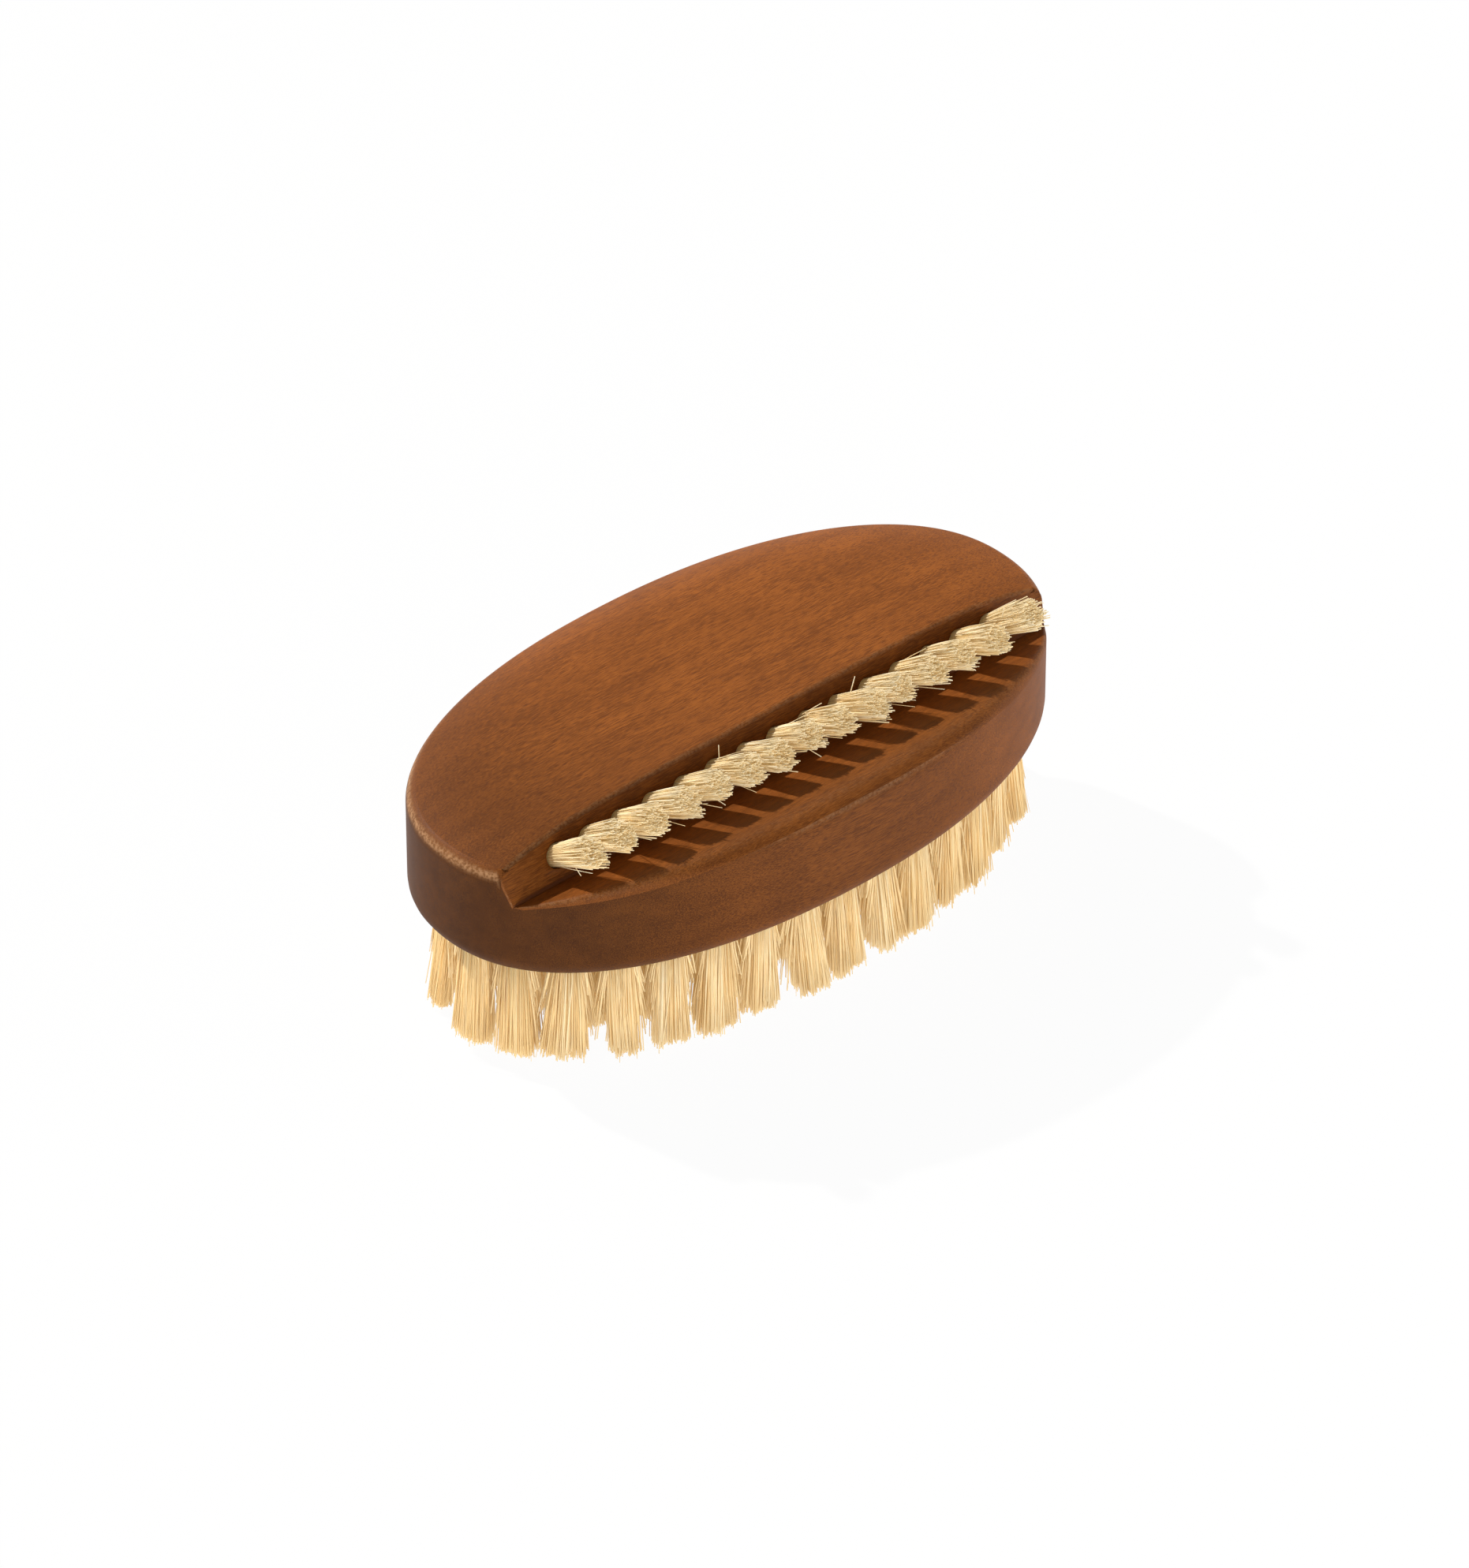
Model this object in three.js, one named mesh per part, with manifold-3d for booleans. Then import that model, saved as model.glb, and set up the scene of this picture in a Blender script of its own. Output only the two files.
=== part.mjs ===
// Wooden nail brush: an oval block with a slanting nail groove milled in its top, tufts of bristle driven into
// blind holes, and a flat metal anchor that pins the fold of each tuft. Millimetres, +Z up. The brush stands on
// its bristle tips at z = 0, with its length along X and the nail groove on the -Y side.
import * as THREE from "three";
import { mergeVertices } from "three/addons/utils/BufferGeometryUtils.js";
import Module from "manifold-3d";

// Gap kept between pieces that touch.
const CLEARANCE = 0.3;

// Block: its outline is a superellipse, its top is a crown that is flat in the middle.
const BLOCK_LENGTH = 95;
const BLOCK_WIDTH = 52.6;
const OUTLINE_POWER = 2.185;
const SIDE_HEIGHT = 15.9;
const CROWN_RISE = 2.2;
const CROWN_POWER = 5.65;
const CROWN_FLAT = 0.45; // share of the outline within which the crown is flat
const TOP_EDGE_RADIUS = 2.1;
const TOP_EDGE_TURN = 66; // degrees through which the top edge is rounded over
const UNDERSIDE_RADIUS = 2.85;
const OUTLINE_POINTS = 64;
const SLICE_POINTS = 40;
const EDGE_STEPS = 4;
const CROWN_STEPS = [0.97, 0.93, 0.87, 0.79, 0.66];

// Nail groove: a square cut tilted so that its floor rises outwards and its wall leans back.
const GROOVE_TILT = 21.2;
const GROOVE_SETBACK = 16; // near side to the groove's corner line
const GROOVE_DEPTH = 7; // crown to the groove's corner line

// Nail row: tufts that stand out of the groove's wall, tipped up from square to it.
const NAIL_TUFTS = 15;
const NAIL_ROW_MARGIN = 8.4; // end of the groove to the first hole's middle
const NAIL_HOLE_RISE = 3.5; // corner line to the holes' middles, up the wall
const NAIL_HOLE_DIAMETER = 3.4;
const NAIL_HOLE_DEPTH = 9;
const NAIL_TIP_UP = 11.8; // degrees
const NAIL_BRISTLE_LENGTH = 8.2;
const NAIL_STRANDS = 7;
const NAIL_STRAND_RADIUS = 0.36;
const NAIL_FLARE = 1.2; // spread of a tuft's tips against its roots

// Face: three rings of tufts in the underside.
const FACE_BRISTLE_LENGTH = 16.6;
const FACE_HOLE_DIAMETER = 5;
const FACE_STRAND_RADIUS = 0.58;
const FACE_FLARE = 1.12;
const RING_INSET = 5.6; // outline to the middle of the outer ring's holes
const INNER_ROW_OFFSET = 4.2; // long axis to the middle of the inner ring's holes
const WOOD_BETWEEN_HOLES = 1.5;
// lean is how far the tips of a ring's tufts stand out beyond their roots
const OUTER_RING = { tufts: 32, strands: 5, lean: 0.2 };
const MIDDLE_RING = { tufts: 24, strands: 4, lean: 0.1 };
const INNER_RING = { tufts: 16, strands: 3, lean: 0 };

// Slice of the block that carries the tufts of one row or ring.
const SLICE_THICKNESS = 1.2;
const SLICE_MARGIN = 0.25;
const PLATE_MARGIN = 1.1;

// Strands: three-sided, uneven at the tips and trimmed flat.
const STRAND_SIDES = 3;
const FACE_TIP_SPREAD = 1.5;
const NAIL_TIP_SPREAD = 0.8;
const TIP_TRIM = 0.5;
const TIP_STRAY = 0.12;

// Anchor: a flat strip across the fold, wider than its hole so that its ends bite into the wood.
const ANCHOR_THICKNESS = 0.5;
const ANCHOR_HEIGHT = 1.8;
const ANCHOR_BITE = 0.5;
const FOLD_THICKNESS = 0.9;

// Fineness of the facets, and how close points or faces have to be to count as one.
const HOLE_SIDES = 6;
const STRIP_END_STEPS = 6;
const SAME_POINT = 1e-4;
const SAME_PLANE = 0.002;

const GOLDEN_ANGLE = Math.PI * (3 - Math.sqrt(5));
const CUT_REACH = 2 * BLOCK_WIDTH;

const WOOD = new THREE.MeshStandardMaterial({ color: 0x8a4f24, roughness: 0.55, metalness: 0 });
const BRISTLE = new THREE.MeshStandardMaterial({ color: 0xd9bf8e, roughness: 0.7, metalness: 0 });
const STEEL = new THREE.MeshStandardMaterial({ color: 0xb9babd, roughness: 0.35, metalness: 1 });

const wasm = await Module();
wasm.setup();

// Sizes that follow from the driving dimensions, measured from the underside of the block.
const tilt = THREE.MathUtils.degToRad(GROOVE_TILT);
const tipUp = THREE.MathUtils.degToRad(NAIL_TIP_UP);
const nailSlope = tilt + tipUp;
const crownHeight = SIDE_HEIGHT + CROWN_RISE;
const cornerY = GROOVE_SETBACK - BLOCK_WIDTH / 2;
const cornerZ = crownHeight - GROOVE_DEPTH;
const nailMouthZ = cornerZ + NAIL_HOLE_RISE * Math.cos(tilt);
const nailHoleFloorZ =
  nailMouthZ - NAIL_HOLE_DEPTH * Math.sin(nailSlope) - (NAIL_HOLE_DIAMETER / 2) * Math.cos(nailSlope);
const faceHoleDepth = nailHoleFloorZ - WOOD_BETWEEN_HOLES;
const outerRingHalfWidth = BLOCK_WIDTH / 2 - RING_INSET;
const ringSpacing = (outerRingHalfWidth - INNER_ROW_OFFSET) / 2;

// A closed geometry as a solid that can be joined and cut.
function solidOf(geometry) {
  const bare = geometry.clone();
  bare.deleteAttribute("normal");
  bare.deleteAttribute("uv");
  const merged = mergeVertices(bare, SAME_POINT);
  return new wasm.Manifold(
    new wasm.Mesh({
      numProp: 3,
      vertProperties: merged.attributes.position.array,
      triVerts: new Uint32Array(merged.index.array),
    }),
  );
}

// A solid back as a geometry with flat normals, its flat neighbouring triangles merged.
function geometryOf(solid) {
  const mesh = solid.asOriginal().simplify(SAME_PLANE).getMesh();
  const geometry = new THREE.BufferGeometry();
  geometry.setAttribute("position", new THREE.BufferAttribute(mesh.vertProperties, 3));
  geometry.setIndex(new THREE.BufferAttribute(mesh.triVerts, 1));
  const flat = geometry.toNonIndexed();
  flat.computeVertexNormals();
  return flat;
}

// A geometry moved into a frame, as a solid.
const placedSolid = (geometry, frame) => solidOf(geometry.clone().applyMatrix4(frame));

// A closed skin over rings of points, each ring turning anticlockwise about the way the rings advance.
function loft(rings) {
  const sides = rings[0].length;
  const last = (rings.length - 1) * sides;
  const triangles = [];
  for (let base = 0; base < last; base += sides)
    for (let i = 0; i < sides; i++) {
      const next = (i + 1) % sides;
      triangles.push(base + i, base + next, base + sides + next);
      triangles.push(base + i, base + sides + next, base + sides + i);
    }
  for (let i = 1; i < sides - 1; i++) triangles.push(0, i + 1, i, last, last + i, last + i + 1);
  const geometry = new THREE.BufferGeometry().setFromPoints(rings.flat());
  return geometry.setIndex(triangles);
}

// Points of the block's outline drawn in by an inset.
function oval(inset, count) {
  const bend = (value) => Math.sign(value) * Math.abs(value) ** (2 / OUTLINE_POWER);
  return Array.from({ length: count }, (_, i) => {
    const angle = (2 * Math.PI * i) / count;
    return new THREE.Vector2(
      (BLOCK_LENGTH / 2 - inset) * bend(Math.cos(angle)),
      (BLOCK_WIDTH / 2 - inset) * bend(Math.sin(angle)),
    );
  });
}

// Half the length of the block's outline at a distance from its long axis.
const outlineHalfLength = (y) =>
  (BLOCK_LENGTH / 2) *
  (1 - Math.abs(y / (BLOCK_WIDTH / 2)) ** OUTLINE_POWER) ** (1 / OUTLINE_POWER);

// Oval block with a rounded underside edge, a round-over at the top edge and a crowned top.
function blockBlank() {
  const ring = (inset, z, scale = 1) =>
    oval(inset, OUTLINE_POINTS).map((p) => new THREE.Vector3(p.x * scale, p.y * scale, z));
  const rings = [];
  for (let i = 0; i <= EDGE_STEPS; i++) {
    const turn = (Math.PI / 2) * (i / EDGE_STEPS);
    rings.push(
      ring(UNDERSIDE_RADIUS * (1 - Math.sin(turn)), UNDERSIDE_RADIUS * (1 - Math.cos(turn))),
    );
  }
  const fullTurn = THREE.MathUtils.degToRad(TOP_EDGE_TURN);
  const roundStart = SIDE_HEIGHT - TOP_EDGE_RADIUS * Math.sin(fullTurn);
  for (let i = 0; i <= EDGE_STEPS; i++) {
    const turn = fullTurn * (i / EDGE_STEPS);
    rings.push(
      ring(TOP_EDGE_RADIUS * (1 - Math.cos(turn)), roundStart + TOP_EDGE_RADIUS * Math.sin(turn)),
    );
  }
  const topInset = TOP_EDGE_RADIUS * (1 - Math.cos(fullTurn));
  for (const share of CROWN_STEPS)
    rings.push(ring(topInset, crownHeight - CROWN_RISE * share ** CROWN_POWER, share));
  rings.push(ring(topInset, crownHeight, CROWN_FLAT));
  return solidOf(loft(rings));
}

// Square prism whose corner line is the bottom of the nail groove.
function grooveCutter() {
  const side = CUT_REACH;
  const prism = new THREE.BoxGeometry(2 * BLOCK_LENGTH, side, side).translate(0, -side / 2, side / 2);
  const frame = new THREE.Matrix4()
    .makeTranslation(0, cornerY, cornerZ)
    .multiply(new THREE.Matrix4().makeRotationX(-tilt));
  return placedSolid(prism, frame);
}

// Frame of a face tuft: +Z out of the underside, +X across the grain.
const faceFrame = (x, y) =>
  new THREE.Matrix4()
    .makeBasis(new THREE.Vector3(0, 1, 0), new THREE.Vector3(1, 0, 0), new THREE.Vector3(0, 0, -1))
    .setPosition(x, y, 0);

// Frame on the groove's wall at the height of the nail holes: +Z out of the wall, +X up the wall.
const wallFrame = (x) =>
  new THREE.Matrix4()
    .makeBasis(
      new THREE.Vector3(0, Math.sin(tilt), Math.cos(tilt)),
      new THREE.Vector3(-1, 0, 0),
      new THREE.Vector3(0, -Math.cos(tilt), Math.sin(tilt)),
    )
    .setPosition(x, cornerY + NAIL_HOLE_RISE * Math.sin(tilt), nailMouthZ);

// Frame of a nail tuft: the wall's frame with +Z tipped up the wall.
const nailFrame = (x) => wallFrame(x).multiply(new THREE.Matrix4().makeRotationY(tipUp));

// Places at equal steps along a closed line of points.
function alongRing(line, count) {
  const curve = new THREE.CatmullRomCurve3(
    line.map((p) => new THREE.Vector3(p.x, p.y, 0)),
    true,
  );
  return curve.getSpacedPoints(count).slice(0, count);
}

// Round pin along the local Z axis.
const pin = (diameter, from, to) =>
  new THREE.CylinderGeometry(diameter / 2, diameter / 2, to - from, HOLE_SIDES)
    .rotateX(Math.PI / 2)
    .translate(0, 0, (from + to) / 2);

// Depth of an anchor's middle below the mouth of its hole.
const anchorDepth = (holeDepth) => holeDepth - CLEARANCE - FOLD_THICKNESS - ANCHOR_HEIGHT / 2;

// An anchor's strip, grown all round by a gap, across the local Z axis.
const anchorStrip = (holeDiameter, holeDepth, gap) =>
  new THREE.BoxGeometry(
    holeDiameter + 2 * (ANCHOR_BITE + gap),
    ANCHOR_THICKNESS + 2 * gap,
    ANCHOR_HEIGHT + 2 * gap,
  ).translate(0, 0, -anchorDepth(holeDepth));

// A repeatable number from 0 to 1 for each seed.
const unevenness = (seed) => THREE.MathUtils.seededRandom(seed);

// One strand: a slim leaning prism from inside the slice to its trimmed tip.
function strand(root, tip, radius, turn) {
  const ring = (centre) =>
    Array.from({ length: STRAND_SIDES }, (_, i) => {
      const angle = turn + (2 * Math.PI * i) / STRAND_SIDES;
      return new THREE.Vector3(
        centre.x + radius * Math.cos(angle),
        centre.y + radius * Math.sin(angle),
        centre.z,
      );
    });
  return loft([ring(root), ring(tip)]);
}

// The strands of one tuft in its frame: they spread from the root by the flare and lean together.
function tuftStrands(tuft, row) {
  const rootReach = row.holeDiameter / 2 - CLEARANCE - row.strandRadius / 2;
  return Array.from({ length: row.strands }, (_, i) => {
    const seed = 3 * (tuft.index * row.strands + i) + 1;
    const angle = GOLDEN_ANGLE * (i + tuft.index);
    const reach = rootReach * Math.sqrt((i + 0.5) / row.strands);
    const root = new THREE.Vector3(
      reach * Math.cos(angle),
      reach * Math.sin(angle),
      -SLICE_THICKNESS / 2,
    );
    const grown = row.bristleLength + TIP_TRIM - row.tipSpread * unevenness(seed);
    const tip = new THREE.Vector3(
      row.flare * root.x + tuft.lean.x + TIP_STRAY * (2 * unevenness(seed + 1) - 1),
      row.flare * root.y + tuft.lean.y + TIP_STRAY * (2 * unevenness(seed + 2) - 1),
      Math.min(row.bristleLength, grown),
    );
    return placedSolid(strand(root, tip, row.strandRadius, angle), tuft.frame);
  });
}

// The folded root of one tuft, with the slot that the anchor passes through where it has one of its own.
function tuftRoot(tuft, row) {
  const plug = pin(
    row.holeDiameter - 2 * CLEARANCE,
    CLEARANCE - row.holeDepth,
    -SLICE_THICKNESS / 2,
  );
  const root = placedSolid(plug, tuft.frame);
  if (!row.anchorName) return root;
  const slot = anchorStrip(row.holeDiameter, row.holeDepth, CLEARANCE);
  return root.subtract(placedSolid(slot, tuft.frame));
}

// A row or ring of tufts joined to the slice of the block that carries them.
function tuftsMesh(row) {
  const pieces = row.tufts.flatMap((tuft) => [tuftRoot(tuft, row), ...tuftStrands(tuft, row)]);
  const joined = wasm.Manifold.union([row.slice(0), ...pieces]);
  const mesh = new THREE.Mesh(geometryOf(joined), BRISTLE);
  mesh.name = row.name;
  return mesh;
}

// The anchors of a row or ring, each its own mesh in its tuft's frame.
const anchorMeshes = (row) =>
  row.tufts.map((tuft, i) => {
    const mesh = new THREE.Mesh(anchorStrip(row.holeDiameter, row.holeDepth, 0), STEEL);
    mesh.name = row.anchorName + "_" + String(i + 1).padStart(2, "0");
    tuft.frame.decompose(mesh.position, mesh.quaternion, mesh.scale);
    return mesh;
  });

// What a row or ring takes out of the block: its slice's pocket, its holes and the bites of its anchors.
function rowCuts(row) {
  const cuts = [row.slice(CLEARANCE)];
  for (const tuft of row.tufts) {
    cuts.push(placedSolid(pin(row.holeDiameter, -row.holeDepth, 0), tuft.frame));
    if (!row.anchorName) continue;
    const bite = anchorStrip(row.holeDiameter, row.holeDepth, CLEARANCE);
    cuts.push(placedSolid(bite, tuft.frame));
  }
  return cuts;
}

// A slice of a flat shape that lies flush in a surface, its two faces moved apart by a gap.
function sliceSolid(shape, frame, gap) {
  const slab = new THREE.ExtrudeGeometry(shape, {
    depth: SLICE_THICKNESS + 2 * gap,
    bevelEnabled: false,
    curveSegments: STRIP_END_STEPS,
  }).translate(0, 0, -SLICE_THICKNESS - gap);
  return placedSolid(slab, frame);
}

// The nail row: its slice is a strip with round ends along the wall.
function nailRow() {
  const halfRow = outlineHalfLength(cornerY) - NAIL_ROW_MARGIN;
  const tufts = Array.from({ length: NAIL_TUFTS }, (_, index) => ({
    index,
    frame: nailFrame(THREE.MathUtils.lerp(-halfRow, halfRow, index / (NAIL_TUFTS - 1))),
    lean: new THREE.Vector2(0, 0),
  }));
  const slice = (gap) => {
    const radius = NAIL_HOLE_DIAMETER / 2 + SLICE_MARGIN + gap;
    const strip = new THREE.Shape()
      .absarc(0, halfRow, radius, 0, Math.PI)
      .absarc(0, -halfRow, radius, Math.PI, 2 * Math.PI);
    return sliceSolid(strip, wallFrame(0), gap);
  };
  return {
    name: "nail_row_tufts",
    anchorName: "nail_anchor",
    tufts,
    slice,
    strands: NAIL_STRANDS,
    strandRadius: NAIL_STRAND_RADIUS,
    flare: NAIL_FLARE,
    tipSpread: NAIL_TIP_SPREAD,
    holeDiameter: NAIL_HOLE_DIAMETER,
    holeDepth: NAIL_HOLE_DEPTH,
    bristleLength: NAIL_BRISTLE_LENGTH,
  };
}

// A ring of face tufts at an inset from the block's outline. Its slice is a band, or a plate with no middle.
function faceRing(name, anchorName, inset, ring, isPlate) {
  const tufts = alongRing(oval(inset, OUTLINE_POINTS), ring.tufts).map((p, index) => {
    const out = new THREE.Vector2(p.x / BLOCK_LENGTH ** 2, p.y / BLOCK_WIDTH ** 2).normalize();
    return {
      index,
      frame: faceFrame(p.x, p.y),
      lean: new THREE.Vector2(out.y, out.x).multiplyScalar(ring.lean),
    };
  });
  const slice = (gap) => {
    const reach = FACE_HOLE_DIAMETER / 2 + (isPlate ? PLATE_MARGIN : SLICE_MARGIN) + gap;
    const inFrame = (line) => line.map((p) => new THREE.Vector2(p.y, p.x)).reverse();
    const shape = new THREE.Shape(inFrame(oval(inset - reach, SLICE_POINTS)));
    if (!isPlate) shape.holes.push(new THREE.Path(inFrame(oval(inset + reach, SLICE_POINTS))));
    return sliceSolid(shape, faceFrame(0, 0), gap);
  };
  return {
    name,
    anchorName,
    tufts,
    slice,
    strands: ring.strands,
    strandRadius: FACE_STRAND_RADIUS,
    flare: FACE_FLARE,
    tipSpread: FACE_TIP_SPREAD,
    holeDiameter: FACE_HOLE_DIAMETER,
    holeDepth: faceHoleDepth,
    bristleLength: FACE_BRISTLE_LENGTH,
  };
}

const rows = [
  nailRow(),
  faceRing("outer_ring_tufts", "outer_anchor", RING_INSET, OUTER_RING, false),
  faceRing("middle_ring_tufts", null, RING_INSET + ringSpacing, MIDDLE_RING, false),
  faceRing("inner_ring_tufts", null, RING_INSET + 2 * ringSpacing, INNER_RING, true),
];

const blockSolid = blockBlank()
  .subtract(grooveCutter())
  .subtract(wasm.Manifold.union(rows.flatMap(rowCuts)));
const block = new THREE.Mesh(geometryOf(blockSolid), WOOD);
block.name = "block";

const brush = new THREE.Group();
brush.position.z = FACE_BRISTLE_LENGTH;
brush.add(block);
for (const row of rows) {
  brush.add(tuftsMesh(row));
  if (row.anchorName) brush.add(...anchorMeshes(row));
}

const part = new THREE.Group();
part.add(brush);

export default part;
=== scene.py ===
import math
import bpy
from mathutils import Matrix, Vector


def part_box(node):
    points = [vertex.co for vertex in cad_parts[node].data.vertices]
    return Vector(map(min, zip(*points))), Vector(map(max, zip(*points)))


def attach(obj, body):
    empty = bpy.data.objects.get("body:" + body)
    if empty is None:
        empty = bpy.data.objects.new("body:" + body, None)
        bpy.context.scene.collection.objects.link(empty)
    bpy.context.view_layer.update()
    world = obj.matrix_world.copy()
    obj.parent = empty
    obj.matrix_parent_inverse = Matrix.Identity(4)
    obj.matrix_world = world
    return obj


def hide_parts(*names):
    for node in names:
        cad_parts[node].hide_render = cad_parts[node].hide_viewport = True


bl_info = {
    "name": "Wooden Nail Brush",
    "version": (1, 0, 0),
    "blender": (4, 5, 0),
    "location": "View3D > Sidebar > Nail Brush",
    "description": "Oval wooden nail brush with a slanting groove, a row of nail tufts and a face of bristle",
    "category": "Add Mesh",
}

from typing import NamedTuple

import bpy
import numpy as np
from mathutils import Vector

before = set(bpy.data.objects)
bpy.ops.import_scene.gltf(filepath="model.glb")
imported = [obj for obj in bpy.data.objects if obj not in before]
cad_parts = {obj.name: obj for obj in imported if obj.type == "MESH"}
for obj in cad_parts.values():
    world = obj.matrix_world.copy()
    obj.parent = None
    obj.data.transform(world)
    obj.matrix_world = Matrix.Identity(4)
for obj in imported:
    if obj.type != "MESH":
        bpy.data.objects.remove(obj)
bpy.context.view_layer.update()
BLOCK_LOW, BLOCK_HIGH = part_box("block")
MM = 0.001

# Fineness of the block's grid
CELL_STEPS = 12  # steps across one nail hole
CELL_MARGIN = 3  # rows of the wall below the holes, and above them
END_STATIONS = 12  # sections in each part of an end
UNDERSIDE_POINTS = 7  # from the long axis to the edge
EDGE_POINTS = 8  # round the underside's edge
SIDE_POINTS = 26  # up a side
LIP_POINTS = 9
FLOOR_POINTS = 30
CORNER_POINTS = 5
TOP_POINTS = 7  # round the top of the wall
CROWN_POINTS = 52
CLIMB_POWER = 0.8  # with a sine, brings the points of a side closer towards the rim
SAME_POINT = 1e-7  # distance within which points are one
TINY = 1e-12  # what counts as nothing

# Searches along the block's lines
OUTLINE_SAMPLES = 4001
SIDE_SAMPLES = 900
SEARCH_PAST = 0.006  # how far past the rim the near side is searched
END_SAMPLES = 2000
TOP_ROUNDS = 12  # rounds that settle the top of the wall

# Rings of a nail hole, from its middle to the border of its cell
HOLE_REACH = np.array([0.0, 0.35, 0.7, 0.99, 1.0, 1.07, 1.07])  # as shares of the hole's radius
HOLE_DEPTH = np.array([0.0022, 0.0022, 0.0022, 0.002, 0.00012, 0.0, 0.0])
HOLE_SHADE_DEPTH = 0.002  # depth at which the painted shade in a hole is full
CELL_HALF = 0.00215  # half the height of a cell

# Rounding of the groove's edges
EASE_SHARE = 0.3  # most of a face that a crisp edge takes
LIP_EASE_SHARE = 0.4  # most of the floor that the lip takes
CORNER_EASE, TOP_EASE = 0.8, 1.2  # eases of the corner and the wall's top, as shares of the edge ease
SOFT_START = 0.003  # how far below the rim the lip starts to soften
CORNER_BLEND = 0.0045  # way along which the corner line ends

# Painted shade on the wood, painted shade in the groove's corner and holes, and wear with a painted sheen,
# from 0 to 1
# Painted shade on the lip, the groove's floor and its wall; the lip keeps less of it than the sides, which
# paints a soft sheen there
LIP_SHADE = 0.5
FLOOR_SHADE = 0.45
WALL_SHADE = 0.56
EDGE_SHADE = 0.12  # how much more painted shade there is along the crown's near edge, fading towards the far rim
# Painted shade along the groove's corner
CORNER_SHADE = 0.8
# Wear with a painted sheen on the lip and on the wall's top edge
LIP_WEAR_AND_SHEEN = 0.7
SOFT_LOSS = 0.75  # part of the lip's wear and painted sheen that is gone where it is soft
EDGE_WEAR_AND_SHEEN = 0.5
PEAK_POWER = 4  # power that makes the rubbed lines and painted sheen narrow

# Looks along the block: the least, then steps of how much, from where and to where, as shares towards -X
# Painted shade on the cut faces and on the crown, deeper towards the -X end
CUT_SHADE = (0.37, (0.27, -0.9, 0.0), (0.3, 0.25, 0.9), (0.1, -0.6, -0.95))
CROWN_SHADE = (0.0, (0.46, 0.15, 0.95))
# Wear with a painted sheen along the rims, stronger towards the -X end
RIM_WEAR_AND_SHEEN = (0.5, (1.1, 0.5, 0.92))

# Strands of bristle
STRAND_SIDES = 3
STRAND_STEPS = np.array([0.0, 0.55, 1.0])  # shares of the way from root to tip
STRAND_RINGS = len(STRAND_STEPS)
PIECE_FACES = 190_000  # most triangles in one piece
GOLDEN_ANGLE = math.pi * (3.0 - math.sqrt(5.0))
DISC_TURN, CLUMP_TURN = 7, 3  # golden angles by which the next tuft's strands and clumps are turned
ANGLE_SPREAD = 0.2  # unevenness of the strands' places
REACH_SPREAD = 0.03
RADIUS_SPREAD = 0.22
CLUMPS = 24  # clumps of tips in a tuft
CLUMP_SPREAD = 0.06  # unevenness of their middles
CLUMP_PART, OWN_PART = 0.55, 0.45  # parts of a strand's tint and length that are its clump's and its own
FRAY = 0.12  # how much further the tips at a tuft's rim can spread
BEND_SHARE = 0.3  # bend of a strand as a share of its looseness
WILD_SHARE = 0.033  # part of the strands that stray
WILD_REACH = 3.5  # how many times as loose they are
WILD_THICKNESS = 0.67
DARK_SHARE = 0.008  # part of the strands that are dark
CORE_STRANDS = 48  # thick strands of a tuft's packed middle
CORE_REACH = 0.72
CORE_SHORTEST = 0.94
CORE_THICKNESS = 3.0
GAP_STRANDS = 80  # strands that lean into the gaps beside a tuft
GAP_SIDE, GAP_UPRIGHT = (0.6, 1.0), (-0.8, 0.8)  # places of their roots, as shares of the tuft's reach
GAP_LEAN = (0.0002, 0.0016)
GAP_SHORTEST = 0.3  # as a share of the tuft's length
GAP_UNEVEN = 0.55  # how much more the longest is
GAP_BEND = 0.0001
GAP_TINT = 0.5

# Nail tufts
NAIL_SEED = 11
NAIL_SWAY = 0.025  # unevenness of their directions, in radians
NAIL_LIFT = 0.035  # how much further those towards +X are tipped up
LIFT_RANGE = (1 / 3, 0.8)  # shares of the row between which that grows
NAIL_LONGEST = 1.08  # longest strand as a share of the length
NAIL_UNEVEN = 0.3  # how much less the shortest is
NAIL_POWER = 1.3  # above 1, so that more strands are long
NAIL_PALE = 0.5  # least tint of a strand
NAIL_DROOP = 0.0014  # how much longer a strand at the lower rim can be
NAIL_SLANT = 0.0003  # how much longer each strand there is
NAIL_FLARE_SPREAD = 0.04
NAIL_CLEARANCE = 0.0003  # room round the roots in a hole
LAST_LEAN = (0.0012, 0.0004)  # lean of the last tuft, across and up

# Face tufts
FACE_SEED = 21  # for the outer ring, and the next numbers for the next rings
FACE_SWAY_ALONG = 0.0013  # unevenness of the lean along the ring
FACE_SWAY_OUT = 0.0004
FACE_FLARE_SPREAD = 0.2
FACE_POWER = 1.5  # above 1, so that more strands are long
TUFT_SHORT = 0.0011  # how much shorter a tuft can be
RIM_SHORT = 0.0007  # how much shorter the outer rim of a tuft is
FACE_DEEPER = 0.04  # how much deeper the tint is everywhere
END_DEEPER = 0.35  # how much deeper still it is at both ends
END_RANGE = (0.022, 0.044)  # distances between which that grows
PALEST_X = -0.003  # where they are measured from
DEEPER_SPREAD = 0.06

# Stage
FLOOR_HALF = 8.0
FLOOR_OWN_WHITE = 0.96  # part of the floor's white that no shadow takes
KEY_COLOUR = (1.0, 0.97, 0.92)
KEY_DISTANCE = 2.0
RIGHT_WIDTH, RIGHT_PLACE = 0.7, (0.94, -0.79, 0.26)
FRONT_WIDTH, FRONT_PLACE = 0.6, (-0.6, -1.06, 0.25)
CAMERA_AIM = 0.01  # height above the underside of the block

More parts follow.
